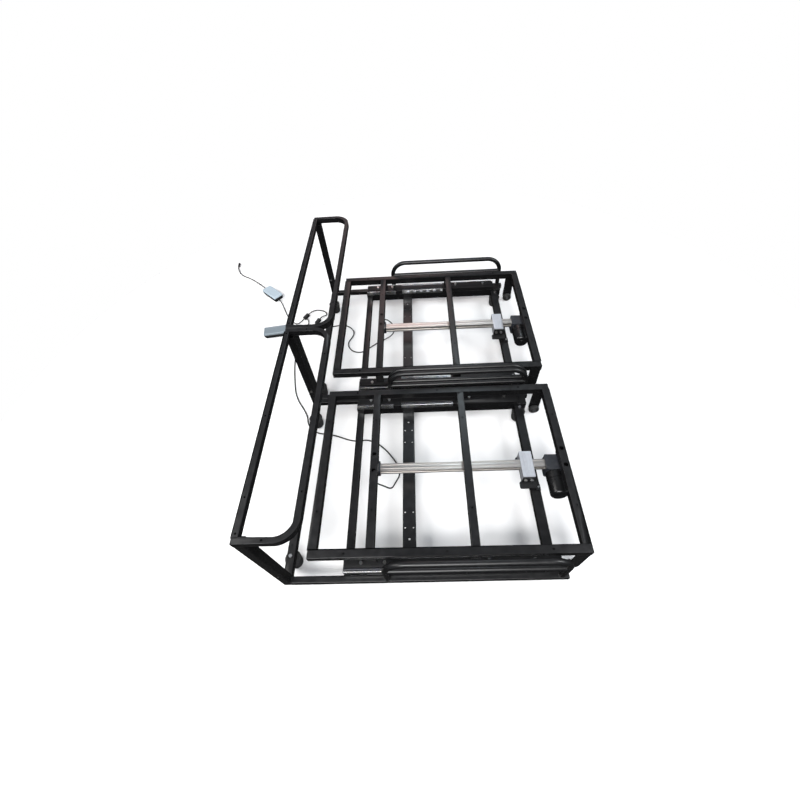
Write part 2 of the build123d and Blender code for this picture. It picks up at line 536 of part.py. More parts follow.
def gear_housing():
    """The gear housing under the front bar."""
    y, x1 = AXIS_Y, PLAT_L - 3
    body = span(ACT_X1, x1, y - HOUSING_W / 2, y + HOUSING_W / 2, BLOCK_Z1 - HOUSING_H, BLOCK_Z1)
    body = fillet(body.edges().filter_by(Axis.Z), 5)
    body = chamfer(body.faces().sort_by(Axis.Z)[0].edges(), 2)
    body += span(x1 + 2 - FLANGE_W, x1 + 2, y - FLANGE_REACH, y + FLANGE_REACH, BLOCK_Z1, PLAT_Z0)
    body -= rod(JOURNAL_D + RUN_GAP, (ACT_X1 - 1, y, AXIS_Z), (ACT_X1 + 14, y, AXIS_Z))
    for by in BIG_HOLES:
        body -= hole_down(ACT_BOLT_HOLE, PLAT_L - PLAT_T / 2, by, PLAT_Z0, 2 * BLOCK_GAP)
    return [body]


def motor():
    """The motor's casing, standing off the gear housing along Y."""
    y, z = AXIS_Y - HOUSING_W / 2, BLOCK_Z1 - 0.5 - MOTOR_D / 2
    body = rod(MOTOR_D, (MOTOR_X, y - MOTOR_L, z), (MOTOR_X, y, z))
    return [fillet(body.faces().sort_by(Axis.Y)[0].edges(), 12)]


def rear_mount():
    """The rail's rear end block, bolted under the first cross bar."""
    y, reach = AXIS_Y, PLAT_T / 2 - 0.5
    body = span(REAR_CROSS - 15.5, ACT_X0, y - MOUNT_W / 2, y + MOUNT_W / 2, BLOCK_Z1 - MOUNT_H, BLOCK_Z1)
    body += span(REAR_CROSS - reach, REAR_CROSS + reach, y - FLANGE_REACH, y + FLANGE_REACH,
                 BLOCK_Z1, PLAT_Z0)
    body -= rod(JOURNAL_D + RUN_GAP, (ACT_X0 - 16, y, AXIS_Z), (ACT_X0 + 1, y, AXIS_Z))
    for by in BIG_HOLES:
        body -= hole_down(ACT_BOLT_HOLE, REAR_CROSS, by, PLAT_Z0, 2 * BLOCK_GAP)
    return [body]


# ---------------------------------------------------------------- supplies and leads
def lead(points, d, turn=0.45):
    """A round lead through hand-set points, with a broad arc at each."""
    pts = [Vector(*p) for p in points]
    edges = []
    start = pts[0]
    for i in range(1, len(pts) - 1):
        a, b, c = pts[i - 1], pts[i], pts[i + 1]
        u, v = (a - b), (c - b)
        reach = turn * min(u.length, v.length)
        p = b + u.normalized() * reach
        q = b + v.normalized() * reach
        if (p - start).length > 0.01:
            edges.append(Line(start, p))
        if u.normalized().cross(v.normalized()).length < 0.02:
            edges.append(Line(p, q))
        else:
            edges.append(TangentArc(p, q, tangent=(b - p)))
        start = q
    edges.append(Line(start, pts[-1]))
    path = Wire(edges)
    ring = Plane(origin=path @ 0, z_dir=path % 0) * Circle(d / 2)
    return sweep(ring, path=path)


FLOOR = LEAD_D / 2 + 0.2
BOX = (110.0, 52.0, 32.0)
BOX_A, TURN_A = (-424.0, 1432.0), -43.0
BOX_B, TURN_B = (-350.0, 1141.0), 8.0


def supply_box(centre, turn):
    body = Box(*BOX, align=(Align.CENTER, Align.CENTER, Align.MIN))
    body = fillet(body.edges().filter_by(Axis.Z), 6)
    body = fillet(body.faces().sort_by(Axis.Z)[-1].edges(), 2)
    return Pos(centre[0], centre[1], 0) * Rot(0, 0, turn) * body


def at_box(centre, turn, x, y, z):
    a = math.radians(turn)
    return (centre[0] + x * math.cos(a) - y * math.sin(a), centre[1] + x * math.sin(a) + y * math.cos(a), z)


CONNECTOR = (34.0, 16.0, 14.0)
CONN_1, CONN_1_TURN = (-221.0, 1252.0), 62.0
CONN_2, CONN_2_TURN = (-158.0, 1212.0), 68.0
PLUG_END, PLUG_TURN = (-683.0, 1722.0), 97.0


def connector(centre, turn):
    body = Box(*CONNECTOR, align=(Align.CENTER, Align.CENTER, Align.MIN))
    body = fillet(body.edges().filter_by(Axis.X), 2)
    return Pos(centre[0], centre[1], 0) * Rot(0, 0, turn) * body


def end_plug():
    a = math.radians(PLUG_TURN)
    z = 5.5
    x, y = PLUG_END
    p = (x - 18 * math.cos(a), y - 18 * math.sin(a), z)
    q = (x + 18 * math.cos(a), y + 18 * math.sin(a), z)
    bore = [(x + reach * math.cos(a), y + reach * math.sin(a), z) for reach in (6, 20)]
    return rod(11, p, q) - rod(4, *bore)


def lead_paths():
    """Every lead's hand-set points, from one end to the other."""
    f = FLOOR
    mid = 7.0
    a_far = at_box(BOX_A, TURN_A, -55, 4, 12)
    a_far_out = at_box(BOX_A, TURN_A, -80, 4, 12)
    a_near = at_box(BOX_A, TURN_A, 55, -6, 12)
    a_near_out = at_box(BOX_A, TURN_A, 78, -6, 12)
    b_end = at_box(BOX_B, TURN_B, 55, -8, 12)
    b_end_out = at_box(BOX_B, TURN_B, 80, -8, 12)
    b_top = at_box(BOX_B, TURN_B, 55, 12, 12)
    b_top_out = at_box(BOX_B, TURN_B, 78, 12, 12)

    def conn(c, turn, s):
        t = math.radians(turn)
        return (c[0] + s * math.cos(t), c[1] + s * math.sin(t), mid)
    plug = math.radians(PLUG_TURN)
    plug_in = (PLUG_END[0] - 18 * math.cos(plug), PLUG_END[1] - 18 * math.sin(plug), 5.5)
    plug_out = (PLUG_END[0] - 40 * math.cos(plug), PLUG_END[1] - 40 * math.sin(plug), 5.5)
    return {
        "mains_lead": [a_far, a_far_out, (-540, 1556, f), (-590, 1596, f), (-645, 1628, f), plug_out, plug_in],
        "supply_lead": [a_near, a_near_out, (-345, 1320, f), (-305, 1235, f), (-262, 1200, f),
                        conn(CONN_1, CONN_1_TURN, -42), conn(CONN_1, CONN_1_TURN, -17)],
        "link_lead": [conn(CONN_1, CONN_1_TURN, 17), conn(CONN_1, CONN_1_TURN, 38), (-175, 1305, f),
                      (-130, 1290, f), (-118, 1258, f), conn(CONN_2, CONN_2_TURN, 40),
                      conn(CONN_2, CONN_2_TURN, 17)],
        "box_lead": [b_top, b_top_out, (-245, 1150, f), (-212, 1178, f), (-203, 1204, f), (-206, 1222, 6),
                     (-215, 1236, 8)],
        "far_motor_lead": [conn(CONN_2, CONN_2_TURN, -17), conn(CONN_2, CONN_2_TURN, -40), (-130, 1165, f),
                           (-80, 1176, f), (-22, 1184, f), (20, 1152, f), (30, 1110, f), (0, 1056, f),
                           (22, 1005, f), (70, 990, f), (100, 1014, f), (150, 1056, f), (215, 1090, f + 6),
                           (228, 1092, 60), (200, 1085, 112), (179, 1078, 118), (179, 1047.5, 118)],
        "near_motor_lead": [b_end, b_end_out, (-236, 1080, f), (-232, 950, f), (-210, 826, f), (-188, 740, f),
                            (-128, 655, f), (-118, 600, f), (-78, 562, f), (-15, 556, f), (74, 517, f),
                            (130, 529, f), (190, 490, f), (241, 421, f), (254, 376, f), (236, 340, f + 6),
                            (228, 292, 60), (202, 284, 112), (179, 290, 118), (179, 322.5, 118)],
    }


# ---------------------------------------------------------------- write every node
for module, dy in MODULES:
    n = module + "_"
    out(n + "base_frame", base_frame(), dy)
    out(n + "cross_plate", cross_plate(), dy)
    out(n + "rubber_feet", feet(), dy)
    out(n + "base_bolts", base_bolts(), dy)
    out(n + "side_beams", both_sides(side_beam), dy)
    out(n + "shelf_frame", shelf_tubes(), dy)
    out(n + "shelf_posts", both_sides(shelf_post), dy)
    out(n + "side_hoops", both_sides(side_hoop), dy)
    out(n + "outer_slide_rails", both_sides(outer_rail), dy)
    out(n + "middle_slide_rails", both_sides(middle_rail), dy)
    out(n + "inner_slide_rails", both_sides(inner_rail), dy)
    out(n + "ball_strips", slide_balls(), dy)
    out(n + "slide_brackets", both_sides(slide_brackets), dy)
    out(n + "platform_frame", platform_frame(), dy)
    out(n + "platform_bolts", platform_bolts(), dy)
    out(n + "leg_plates", both_sides(leg_plate), dy)
    out(n + "floor_wheels", both_sides(wheel), dy)
    out(n + "actuator_rail", actuator_rail(), dy)
    out(n + "lead_screw", lead_screw(), dy)
    out(n + "drive_nut", drive_nut(), dy)
    out(n + "slider_block", slider_block(), dy)
    out(n + "slider_bracket", slider_bracket(), dy)
    out(n + "gear_housing", gear_housing(), dy)
    out(n + "motor", motor(), dy)
    out(n + "rear_mount", rear_mount(), dy)

out("power_supply", [supply_box(BOX_A, TURN_A)])
out("battery_pack", [supply_box(BOX_B, TURN_B)])
out("lead_connectors", [connector(CONN_1, CONN_1_TURN), connector(CONN_2, CONN_2_TURN)])
out("lead_end_plug", [end_plug()])
for name, points in lead_paths().items():
    out(name, [lead(points, LEAD_D)])
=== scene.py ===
"""Looks for a twin-module pull-out bed base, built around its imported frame."""

import math

import bmesh
import bpy
from bpy.props import FloatProperty, FloatVectorProperty, PointerProperty
from mathutils import Matrix, Vector


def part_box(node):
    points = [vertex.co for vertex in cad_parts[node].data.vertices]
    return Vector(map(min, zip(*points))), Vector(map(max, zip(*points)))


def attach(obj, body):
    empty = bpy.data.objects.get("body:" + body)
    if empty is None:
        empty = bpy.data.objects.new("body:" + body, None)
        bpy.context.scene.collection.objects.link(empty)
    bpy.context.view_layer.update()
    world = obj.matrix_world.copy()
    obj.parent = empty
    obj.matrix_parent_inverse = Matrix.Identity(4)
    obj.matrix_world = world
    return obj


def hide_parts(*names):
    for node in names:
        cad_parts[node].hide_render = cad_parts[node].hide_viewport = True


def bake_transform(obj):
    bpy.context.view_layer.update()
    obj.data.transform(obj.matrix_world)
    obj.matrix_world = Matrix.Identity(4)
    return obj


bl_info = {
    "name": "Pull-out bed base",
    "version": (1, 0, 0),
    "blender": (4, 5, 0),
    "location": "View3D > Sidebar > Bed base",
    "description": "Dresses the steelwork, slides, actuators and leads of a twin pull-out bed base",
    "category": "Object",
}

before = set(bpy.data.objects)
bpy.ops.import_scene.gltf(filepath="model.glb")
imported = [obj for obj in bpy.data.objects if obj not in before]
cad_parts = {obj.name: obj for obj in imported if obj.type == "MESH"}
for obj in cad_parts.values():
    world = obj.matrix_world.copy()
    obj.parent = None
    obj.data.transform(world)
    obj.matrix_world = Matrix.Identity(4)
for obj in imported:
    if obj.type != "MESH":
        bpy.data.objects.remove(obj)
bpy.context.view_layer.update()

# ---------------------------------------------------------------- places and sizes, in metres
MODULE_NAMES = ("near", "far")
CROSS_BARS = (0.1785, 0.480)
TUBE, SHELF_TUBE, STUB_RISE = 0.025, 0.015, 0.005
HOOP_TUBE, HOOP_BEND, HOOP_BAR_DOWN = 0.019, 0.062, 0.065
BEND_STEPS, TUBE_SIDES, BEVEL_STEPS = 14, 28, 3
JOIN = 1e-5
EDGE_IN = 0.001
CREASE, CORNER, FLAT = math.radians(30), math.radians(50), math.radians(0.5)
LEAD = 0.005
FLOOR = LEAD / 2 + 0.0002
LEAD_AT, PLUG_AT, CONNECTOR_MIDDLE = 0.012, 0.0055, 0.007
SUPPLY_SIZE = Vector((0.110, 0.052, 0.032))
SUPPLY_A, TURN_A = Vector((-0.424, 1.432, 0)), math.radians(-43)
SUPPLY_B, TURN_B = Vector((-0.350, 1.141, 0)), math.radians(8)
CONNECTOR_SIZE = Vector((0.034, 0.016, 0.014))
CONNECTOR_1, TURN_1 = Vector((-0.221, 1.252, 0)), math.radians(62)
CONNECTOR_2, TURN_2 = Vector((-0.158, 1.212, 0)), math.radians(68)
PLUG, TURN_PLUG = Vector((-0.683, 1.722, 0)), math.radians(97)


class Module:
    """One of the two modules: its name, its corner on the floor and its actuator's line."""

    def __init__(self, name):
        self.name = name
        rear_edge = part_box(name + "_platform_frame")[0].x
        near_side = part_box(name + "_base_frame")[0].y
        self.corner = Vector((rear_edge, near_side, 0))
        self.middle = sum(v.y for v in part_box(name + "_actuator_rail")) / 2

    def node(self, part):
        return f"{self.name}_{part}"


MODULES = NEAR, FAR = [Module(name) for name in MODULE_NAMES]
HOME = NEAR.corner


# ---------------------------------------------------------------- shader maths
class Wire:
    """A number on its way through a material, so that sums on it read as sums."""

    def __init__(self, finish, socket):
        self.finish = finish
        self.socket = socket

    def _maths(self, operation, first, second):
        made = self.finish.node("ShaderNodeMath", {"operation": operation}, {0: first, 1: second})
        return Wire(self.finish, made.outputs[0])

    def __add__(self, other):
        return self._maths("ADD", self, other)

    def __sub__(self, other):
        return self._maths("SUBTRACT", self, other)

    def __rsub__(self, other):
        return self._maths("SUBTRACT", other, self)

    def __mul__(self, other):
        return self._maths("MULTIPLY", self, other)

    __radd__ = __add__
    __rmul__ = __mul__


class Finish:
    """A material being made: one Principled shader and what feeds it."""

    def __init__(self, name, **fixed):
        self.material = bpy.data.materials.new(name)
        self.material.use_nodes = True
        self.tree = self.material.node_tree
        self.tree.nodes.clear()
        self.shader = self.node("ShaderNodeBsdfPrincipled", inputs=fixed)
        self.node("ShaderNodeOutputMaterial", inputs={"Surface": self.shader.outputs[0]})
        self.place = self.node("ShaderNodeTexCoord").outputs["Object"]

    def node(self, kind, settings=None, inputs=None):
        made = self.tree.nodes.new(kind)
        for key, value in (settings or {}).items():
            setattr(made, key, value)
        for key, value in (inputs or {}).items():
            self.feed(made.inputs[key], value)
        return made

    def feed(self, socket, value):
        if isinstance(value, Wire):
            value = value.socket
        if isinstance(value, bpy.types.NodeSocket):
            self.tree.links.new(value, socket)
        else:
            socket.default_value = value

    def noise(self, size, detail=3.0, stretch=(1, 1, 1)):
        """Noise of about size metres, longer along an axis with a small stretch."""
        inputs = {"Vector": self.place, "Scale": stretch}
        spot = self.node("ShaderNodeMapping", inputs=inputs).outputs[0]
        inputs = {"Vector": spot, "Scale": 1 / size, "Detail": detail}
        return Wire(self, self.node("ShaderNodeTexNoise", inputs=inputs).outputs[0])

    def step(self, wire, low, high, floor=0.0, top=1.0):
        """Floor below low, top above high, and a smooth rise between."""
        inputs = {"Value": wire, "From Min": low, "From Max": high, "To Min": floor, "To Max": top}
        made = self.node("ShaderNodeMapRange", {"interpolation_type": "SMOOTHSTEP"}, inputs)
        return Wire(self, made.outputs[0])

    def facing_up(self):
        """One on faces that look up, nothing on walls."""
        normal = self.node("ShaderNodeNewGeometry").outputs["Normal"]
        up = self.node("ShaderNodeSeparateXYZ", inputs={0: normal}).outputs[2]
        return self.step(Wire(self, up), 0.3, 0.95)

    def mix(self, factor, first, second):
        made = self.node("ShaderNodeMix", {"data_type": "RGBA"}, {0: factor, 6: first, 7: second})
        return made.outputs[2]

    def bump(self, height, strength, distance):
        inputs = {"Strength": strength, "Distance": distance, "Height": height}
        return self.node("ShaderNodeBump", inputs=inputs).outputs[0]

    def wear(self, **fed):
        for key, value in fed.items():
            self.feed(self.shader.inputs[key.replace("_", " ")], value)
        return self.material


def rgba(colour, times=1.0):
    return (colour[0] * times, colour[1] * times, colour[2] * times, 1.0)


def shade(colour, times):
    return tuple(c * times for c in colour)


FINISHES = {}


def gloss_paint(name, colour, dust, roughness, peel):
    """Oven paint on tube: orange peel, a film of dust on what looks up, fine rubs."""
    f = Finish(name, **{"Specular IOR Level": 0.4})
    cloud = f.noise(0.09)
    settled = f.facing_up() * f.step(f.noise(0.02), 0.3, 0.75, 0.35, 1.0)
    rubs = f.step(f.noise(0.004, 2.0, (0.25, 1, 1)), 0.70, 0.76)
    base = f.mix(settled, rgba(colour), rgba(dust))
    base = f.mix(rubs * 0.35, base, rgba(dust, 2.2))
    surface = f.bump(f.noise(0.0016, 1.0), peel, 0.0004)
    rough = cloud * 0.10 + settled * 0.12 + (roughness - 0.05)
    return f.wear(Base_Color=base, Roughness=rough, Normal=surface)


def bright_zinc(name, colour):
    """Zinc plate: a warm and cool bloom, with fine handling marks."""
    f = Finish(name, **{"Metallic": 1.0})
    bloom = f.step(f.noise(0.012), 0.35, 0.65)
    marks = f.noise(0.0012, 2.0)
    base = f.mix(bloom, rgba(colour), rgba((colour[0] * 0.94, colour[1] * 0.98, colour[2] * 1.08)))
    surface = f.bump(marks, 0.06, 0.0002)
    return f.wear(Base_Color=base, Roughness=marks * 0.18 + 0.20, Normal=surface)


def drawn_alloy(name, colour, grain):
    """Extruded aluminium: die lines that run along the rail."""
    f = Finish(name, **{"Metallic": 1.0})
    lines = f.noise(0.0011, 2.0, (grain, 1, 1))
    broad = f.noise(0.006, 2.0, (grain, 1, 1))
    base = f.mix(f.step(broad, 0.3, 0.7), rgba(colour, 0.80), rgba(colour, 1.05))
    surface = f.bump(lines, 0.22, 0.0003)
    return f.wear(Base_Color=base, Roughness=lines * 0.25 + 0.22, Normal=surface)


def cast_alloy(name, colour):
    """Bead-blasted aluminium: an even sparkle and faint handling grey."""
    f = Finish(name, **{"Metallic": 0.75})
    grit = f.noise(0.0007, 1.0)
    grime = f.step(f.noise(0.015), 0.45, 0.75, 0.0, 0.3)
    base = f.mix(grime, rgba(colour), rgba(colour, 0.72))
    return f.wear(Base_Color=base, Roughness=grit * 0.2 + 0.36, Normal=f.bump(grit, 0.12, 0.0002))


def moulded(name, colour, roughness, grain=0.0008, strength=0.12):
    """Moulded plastic or rubber: spark-eroded grain, with a little dust on top."""
    f = Finish(name)
    grit = f.noise(grain, 2.0)
    dust = f.facing_up() * f.step(f.noise(0.012), 0.35, 0.8, 0.1, 0.5)
    lighter = tuple(c * 0.8 + 0.035 for c in colour)
    base = f.mix(dust, rgba(colour), rgba(lighter))
    rough = grit * 0.16 + dust * 0.1 + (roughness - 0.08)
    return f.wear(Base_Color=base, Roughness=rough, Normal=f.bump(grit, strength, 0.0003))


def floor_paint(colour):
    """The pale studio floor."""
    f = Finish("studio_floor", **{"Roughness": 0.9})
    base = f.mix(f.step(f.noise(0.6), 0.3, 0.7), rgba(colour), rgba(colour, 0.985))
    return f.wear(Base_Color=base)


def make_finishes(look):
    """Every finish that the pieces wear, by name."""
    black, dust = look.paint, look.dust
    FINISHES.update(
        paint=gloss_paint("gloss_black_paint", black, dust, look.paint_roughness, 0.10),
        slide_black=gloss_paint("satin_black_steel", black, shade(dust, 0.7), 0.38, 0.05),
        motor_paint=gloss_paint("motor_paint", black, shade(dust, 0.5), 0.20, 0.03),
        zinc=bright_zinc("bright_zinc", look.zinc),
        # The slides' middle members wear zinc darkened as painted shade for the dark inside of the
        # slides.
        greased=bright_zinc("greased_zinc", look.greased),
        balls=bright_zinc("polished_balls", (0.78, 0.78, 0.79)),
        screw_steel=bright_zinc("rolled_screw_steel", (0.50, 0.49, 0.47)),
        bronze=bright_zinc("nut_bronze", (0.55, 0.40, 0.20)),
        rail=drawn_alloy("drawn_rail_alloy", look.alloy, 0.02),
        block=cast_alloy("blasted_block_alloy", look.block),
        housing=moulded("black_housing_plastic", (0.016, 0.018, 0.023), 0.40),
        rubber=moulded("foot_rubber", (0.014, 0.014, 0.014), 0.78, 0.0014, 0.3),
        nylon=moulded("wheel_nylon", (0.02, 0.02, 0.02), 0.5),
        # The lids are paler mouldings, and their pale grey-blue also carries painted glare on the
        # top faces; the battery's glare is painted dimmer.
        lid=moulded("supply_lid_plastic_with_painted_glare", look.lid, 0.34, 0.0009, 0.08),
        grey_lid=moulded("battery_lid_plastic_with_painted_glare", shade(look.lid, 0.45), 0.34, 0.0009, 0.08),
        shell=moulded("supply_shell_plastic", (0.012, 0.013, 0.014), 0.36),
        sheath=moulded("lead_sheath", (0.018, 0.017, 0.016), 0.46, 0.0012, 0.05),
    )


# ---------------------------------------------------------------- making pieces
def finish_piece(name, mesh, material, body, nodes=()):
    """Turns a bmesh into a shown piece that rides on its body and stands for its CAD nodes."""
    data = bpy.data.meshes.new(name)
    mesh.to_mesh(data)
    mesh.free()
    data.materials.append(FINISHES[material])
    data.shade_smooth()
    data.set_sharp_from_angle(angle=CREASE)
    piece = bpy.data.objects.new(name, data)
    bpy.context.scene.collection.objects.link(piece)
    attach(piece, body)
    if nodes:
        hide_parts(*nodes)
    return piece


def wear_finish(node, material):
    """Gives a CAD node that keeps its own mesh its finish."""
    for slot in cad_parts[node].material_slots:
        slot.material = FINISHES[material]


def merged_copy(node):
    """A CAD node's mesh with its loose triangles joined and its flats cleaned."""
    mesh = bmesh.new()
    mesh.from_mesh(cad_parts[node].data)
    bmesh.ops.remove_doubles(mesh, verts=mesh.verts, dist=JOIN)
    bmesh.ops.dissolve_limit(mesh, angle_limit=FLAT, verts=mesh.verts, edges=mesh.edges)
    return mesh


def round_long_edges(mesh, radius, shortest):
    """Rounds the outside edges that are longer than shortest."""
    def outside(edge):
        return (len(edge.link_faces) == 2 and edge.is_convex and edge.calc_length() > shortest
                and edge.calc_face_angle() > CORNER)
    edges = [edge for edge in mesh.edges if outside(edge)]
    bmesh.ops.bevel(mesh, geom=edges, offset=radius, offset_type="OFFSET", affect="EDGES",
                    segments=BEVEL_STEPS, profile=0.5, material=-1, clamp_overlap=False)


def rounded_piece(module, part, body, material, radius=0.0018, shortest=0.045):
    """Stands for a CAD node with the same shape and softer edges."""
    node = module.node(part)
    mesh = merged_copy(node)
    round_long_edges(mesh, radius, shortest)
    return finish_piece(node + "_shown", mesh, material, body, [node])


def lathe(mesh, profile, centre, axis, count):
    """Spins (distance along axis, radius) points into a closed turned shape."""
    axis = Vector(axis).normalized()
    side = axis.orthogonal().normalized()
    verts = [mesh.verts.new(centre + axis * along + side * radius) for along, radius in profile]
    edges = [mesh.edges.new(pair) for pair in zip(verts, verts[1:])]
    bmesh.ops.spin(mesh, geom=verts + edges, cent=centre, axis=axis, angle=math.tau, steps=count,
                   use_merge=True)
    bmesh.ops.remove_doubles(mesh, verts=mesh.verts, dist=JOIN)
    bmesh.ops.recalc_face_normals(mesh, faces=mesh.faces)


def turned_piece(name, profiles, material, body, nodes, count):
    """A piece made of turned shapes, each a (profile, centre, axis)."""
    whole = bmesh.new()
    for profile, centre, axis in profiles:
        part = bmesh.new()
        lathe(part, profile, centre, axis, count)
        add_mesh(whole, part)
    return finish_piece(name, whole, material, body, nodes)


def add_mesh(whole, part):
    """Moves one bmesh's faces into another."""
    spare = bpy.data.meshes.new("spare")
    part.to_mesh(spare)
    part.free()
    whole.from_mesh(spare)
    bpy.data.meshes.remove(spare)


def block_mesh(centre, size, bevel, turn):
    """A bevelled block about a centre, turned about the vertical."""
    mesh = bmesh.new()
    bmesh.ops.create_cube(mesh, size=1.0)
    bmesh.ops.scale(mesh, vec=size, verts=mesh.verts)
    if bevel:
        bmesh.ops.bevel(mesh, geom=mesh.edges, offset=bevel, offset_type="OFFSET", affect="EDGES",
                        segments=2, profile=0.5, material=-1)
    place = Matrix.Translation(centre) @ Matrix.Rotation(turn, 4, "Z")
    bmesh.ops.transform(mesh, matrix=place, verts=mesh.verts)
    return mesh


# ---------------------------------------------------------------- weld beads
def weld_bead(whole, start, end, radius=0.0017):
    """A rippled bead laid along a joint: a ring drawn out in short pulls."""
    start, end = Vector(start), Vector(end)
    ripple, swells = 0.0022, (0.80, 1.28)
    pulls = max(4, int((end - start).length / ripple))
    pull = (end - start) / pulls
    bead = bmesh.new()
    capped_circle(bead, start, pull, radius * 0.6, 8)
    for i in range(1, pulls + 1):
        verts = draw_out(bead, pull)
        about = Matrix.Translation(-start - pull * i)
        bmesh.ops.scale(bead, vec=(swells[i % 2],) * 3, verts=verts, space=about)
    close_end(bead)
    add_mesh(whole, bead)


def platform_welds(module):
    """Beads in the inner corners where the bars meet the side bars."""
    low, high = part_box(module.node("platform_frame"))
    whole = bmesh.new()
    bars = [low.x + TUBE / 2, *(low.x + x for x in CROSS_BARS), high.x - TUBE / 2]
    for x in bars:
        for y in (low.y + TUBE, high.y - TUBE):
            for side in (-1, 1):
                edge = x + side * TUBE / 2
                if low.x + EDGE_IN < edge < high.x - EDGE_IN:
                    weld_bead(whole, (edge, y, low.z + EDGE_IN), (edge, y, high.z - EDGE_IN))
            reach = TUBE / 2 - EDGE_IN
            weld_bead(whole, (x - reach, y, low.z), (x + reach, y, low.z))
    return finish_piece(module.node("platform_welds"), whole, "paint", module.node("platform"))


def base_welds(module):
    """Beads where the post stubs meet the rails, the rear tube and the spacers."""
    whole = bmesh.new()
    low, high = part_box(module.node("base_frame"))
    z0, z1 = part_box(module.node("cross_plate"))[0].z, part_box(module.node("side_hoops"))[0].z
    for y, inward in ((low.y, 1), (high.y, -1)):
        x, inner, outer = low.x + TUBE, y + inward * TUBE, y + inward * EDGE_IN
        level = z1 + STUB_RISE
        weld_bead(whole, (x, outer, z1), (x, y + inward * HOOP_TUBE, z1))
        weld_bead(whole, (low.x + EDGE_IN, inner, level), (x - EDGE_IN, inner, level))
        weld_bead(whole, (x, inner, z0 + EDGE_IN), (x, inner, level - EDGE_IN))
    return finish_piece(module.node("base_welds"), whole, "paint", "base")


def shelf_welds(module):
    """Beads where the rear tube meets the bent tube's ends, and under each end on its post."""
    whole = bmesh.new()
    low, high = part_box(module.node("shelf_frame"))
    flush_bead = 0.0009
    for y, inward in ((low.y, 1), (high.y, -1)):
        x, post = low.x + SHELF_TUBE, low.x + TUBE
        inner = y + inward * SHELF_TUBE
        weld_bead(whole, (x, inner, low.z + EDGE_IN), (x, inner, high.z - EDGE_IN))
        weld_bead(whole, (low.x + EDGE_IN, inner, high.z), (x - EDGE_IN, inner, high.z), flush_bead)
        weld_bead(whole, (post, y + inward * EDGE_IN, low.z), (post, inner, low.z))
    return finish_piece(module.node("shelf_welds"), whole, "paint", "base")


# ---------------------------------------------------------------- steelwork
def rim(mesh):
    """The edges and vertices round a tube's open end."""
    edges = [edge for edge in mesh.edges if edge.is_boundary]
    return edges, list({vert for edge in edges for vert in edge.verts})


def draw_out(mesh, vector):
    """Lengthens a tube from its open end."""
    made = bmesh.ops.extrude_edge_only(mesh, edges=rim(mesh)[0])["geom"]
    verts = [g for g in made if isinstance(g, bmesh.types.BMVert)]
    bmesh.ops.translate(mesh, vec=vector, verts=verts)
    return verts


def bend_round(mesh, centre):
    """Lengthens a tube round a quarter bend from its open end."""
    edges, verts = rim(mesh)
    bmesh.ops.spin(mesh, geom=verts + edges, cent=centre, axis=(0, 1, 0), angle=math.pi / 2,
                   steps=BEND_STEPS)


def capped_circle(mesh, centre, axis, radius, count):
    """A tube's first end: a disc whose rim is open to be drawn out."""
    turn = Vector(axis).to_track_quat("Z", "X").to_matrix().to_4x4()
    bmesh.ops.create_circle(mesh, cap_ends=True, segments=count, radius=radius,
                            matrix=Matrix.Translation(centre) @ turn)


def close_end(mesh):
    bmesh.ops.holes_fill(mesh, edges=rim(mesh)[0], sides=0)
    bmesh.ops.recalc_face_normals(mesh, faces=mesh.faces)


def side_hoops(module):
    """The two bent round-tube hoops with a bar between the legs, on ringed welds."""
    low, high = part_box(module.node("side_hoops"))
    radius, bend = HOOP_TUBE / 2, HOOP_BEND
    whole = bmesh.new()
    for y in (low.y + radius, high.y - radius):
        part = bmesh.new()
        x0, x1, top = low.x + radius, high.x - radius, high.z - radius
        up = Vector((0, 0, top - bend - low.z))
        capped_circle(part, Vector((x0, y, low.z)), (0, 0, 1), radius, TUBE_SIDES)
        draw_out(part, up)
        bend_round(part, Vector((x0 + bend, y, top - bend)))
        draw_out(part, Vector((x1 - x0 - 2 * bend, 0, 0)))
        bend_round(part, Vector((x1 - bend, y, top - bend)))
        draw_out(part, -up)
        close_end(part)
        add_mesh(whole, part)
        bar = bmesh.new()
        level = top - HOOP_BAR_DOWN
        capped_circle(bar, Vector((x0, y, level)), (1, 0, 0), radius - 0.0002, TUBE_SIDES)
        draw_out(bar, Vector((x1 - x0, 0, 0)))
        close_end(bar)
        add_mesh(whole, bar)
        for x, inward in ((x0, 1), (x1, -1)):
            add_mesh(whole, foot_weld(Vector((x, y, low.z)), radius))
            add_mesh(whole, saddle_weld(Vector((x, y, level)), inward, radius))
    node = module.node("side_hoops")
    return finish_piece(node + "_shown", whole, "paint", "base", [node])


def foot_weld(centre, radius):
    """A rippled ring of weld round a hoop's leg."""
    bead = bmesh.new()
    bead_radius, steps, ripples, depth = 0.0016, 36, 18, 0.35
    turn = Matrix.Rotation(math.pi / 2, 4, "X")
    place = Matrix.Translation(centre + Vector((radius, 0, 0))) @ turn
    bmesh.ops.create_circle(bead, segments=6, radius=bead_radius, matrix=place)
    edges, verts = list(bead.edges), list(bead.verts)
    bmesh.ops.spin(bead, geom=verts + edges, cent=centre, axis=(0, 0, 1), angle=math.tau,
                   steps=steps, use_merge=True)
    bmesh.ops.remove_doubles(bead, verts=bead.verts, dist=JOIN)
    for vert in bead.verts:
        angle = math.atan2(vert.co.y - centre.y, vert.co.x - centre.x)
        rise = (vert.co.z - centre.z) * (1.0 + depth * math.cos(ripples * angle))
        vert.co.z = centre.z + max(rise, 0.0)
    bmesh.ops.recalc_face_normals(bead, faces=bead.faces)
    return bead


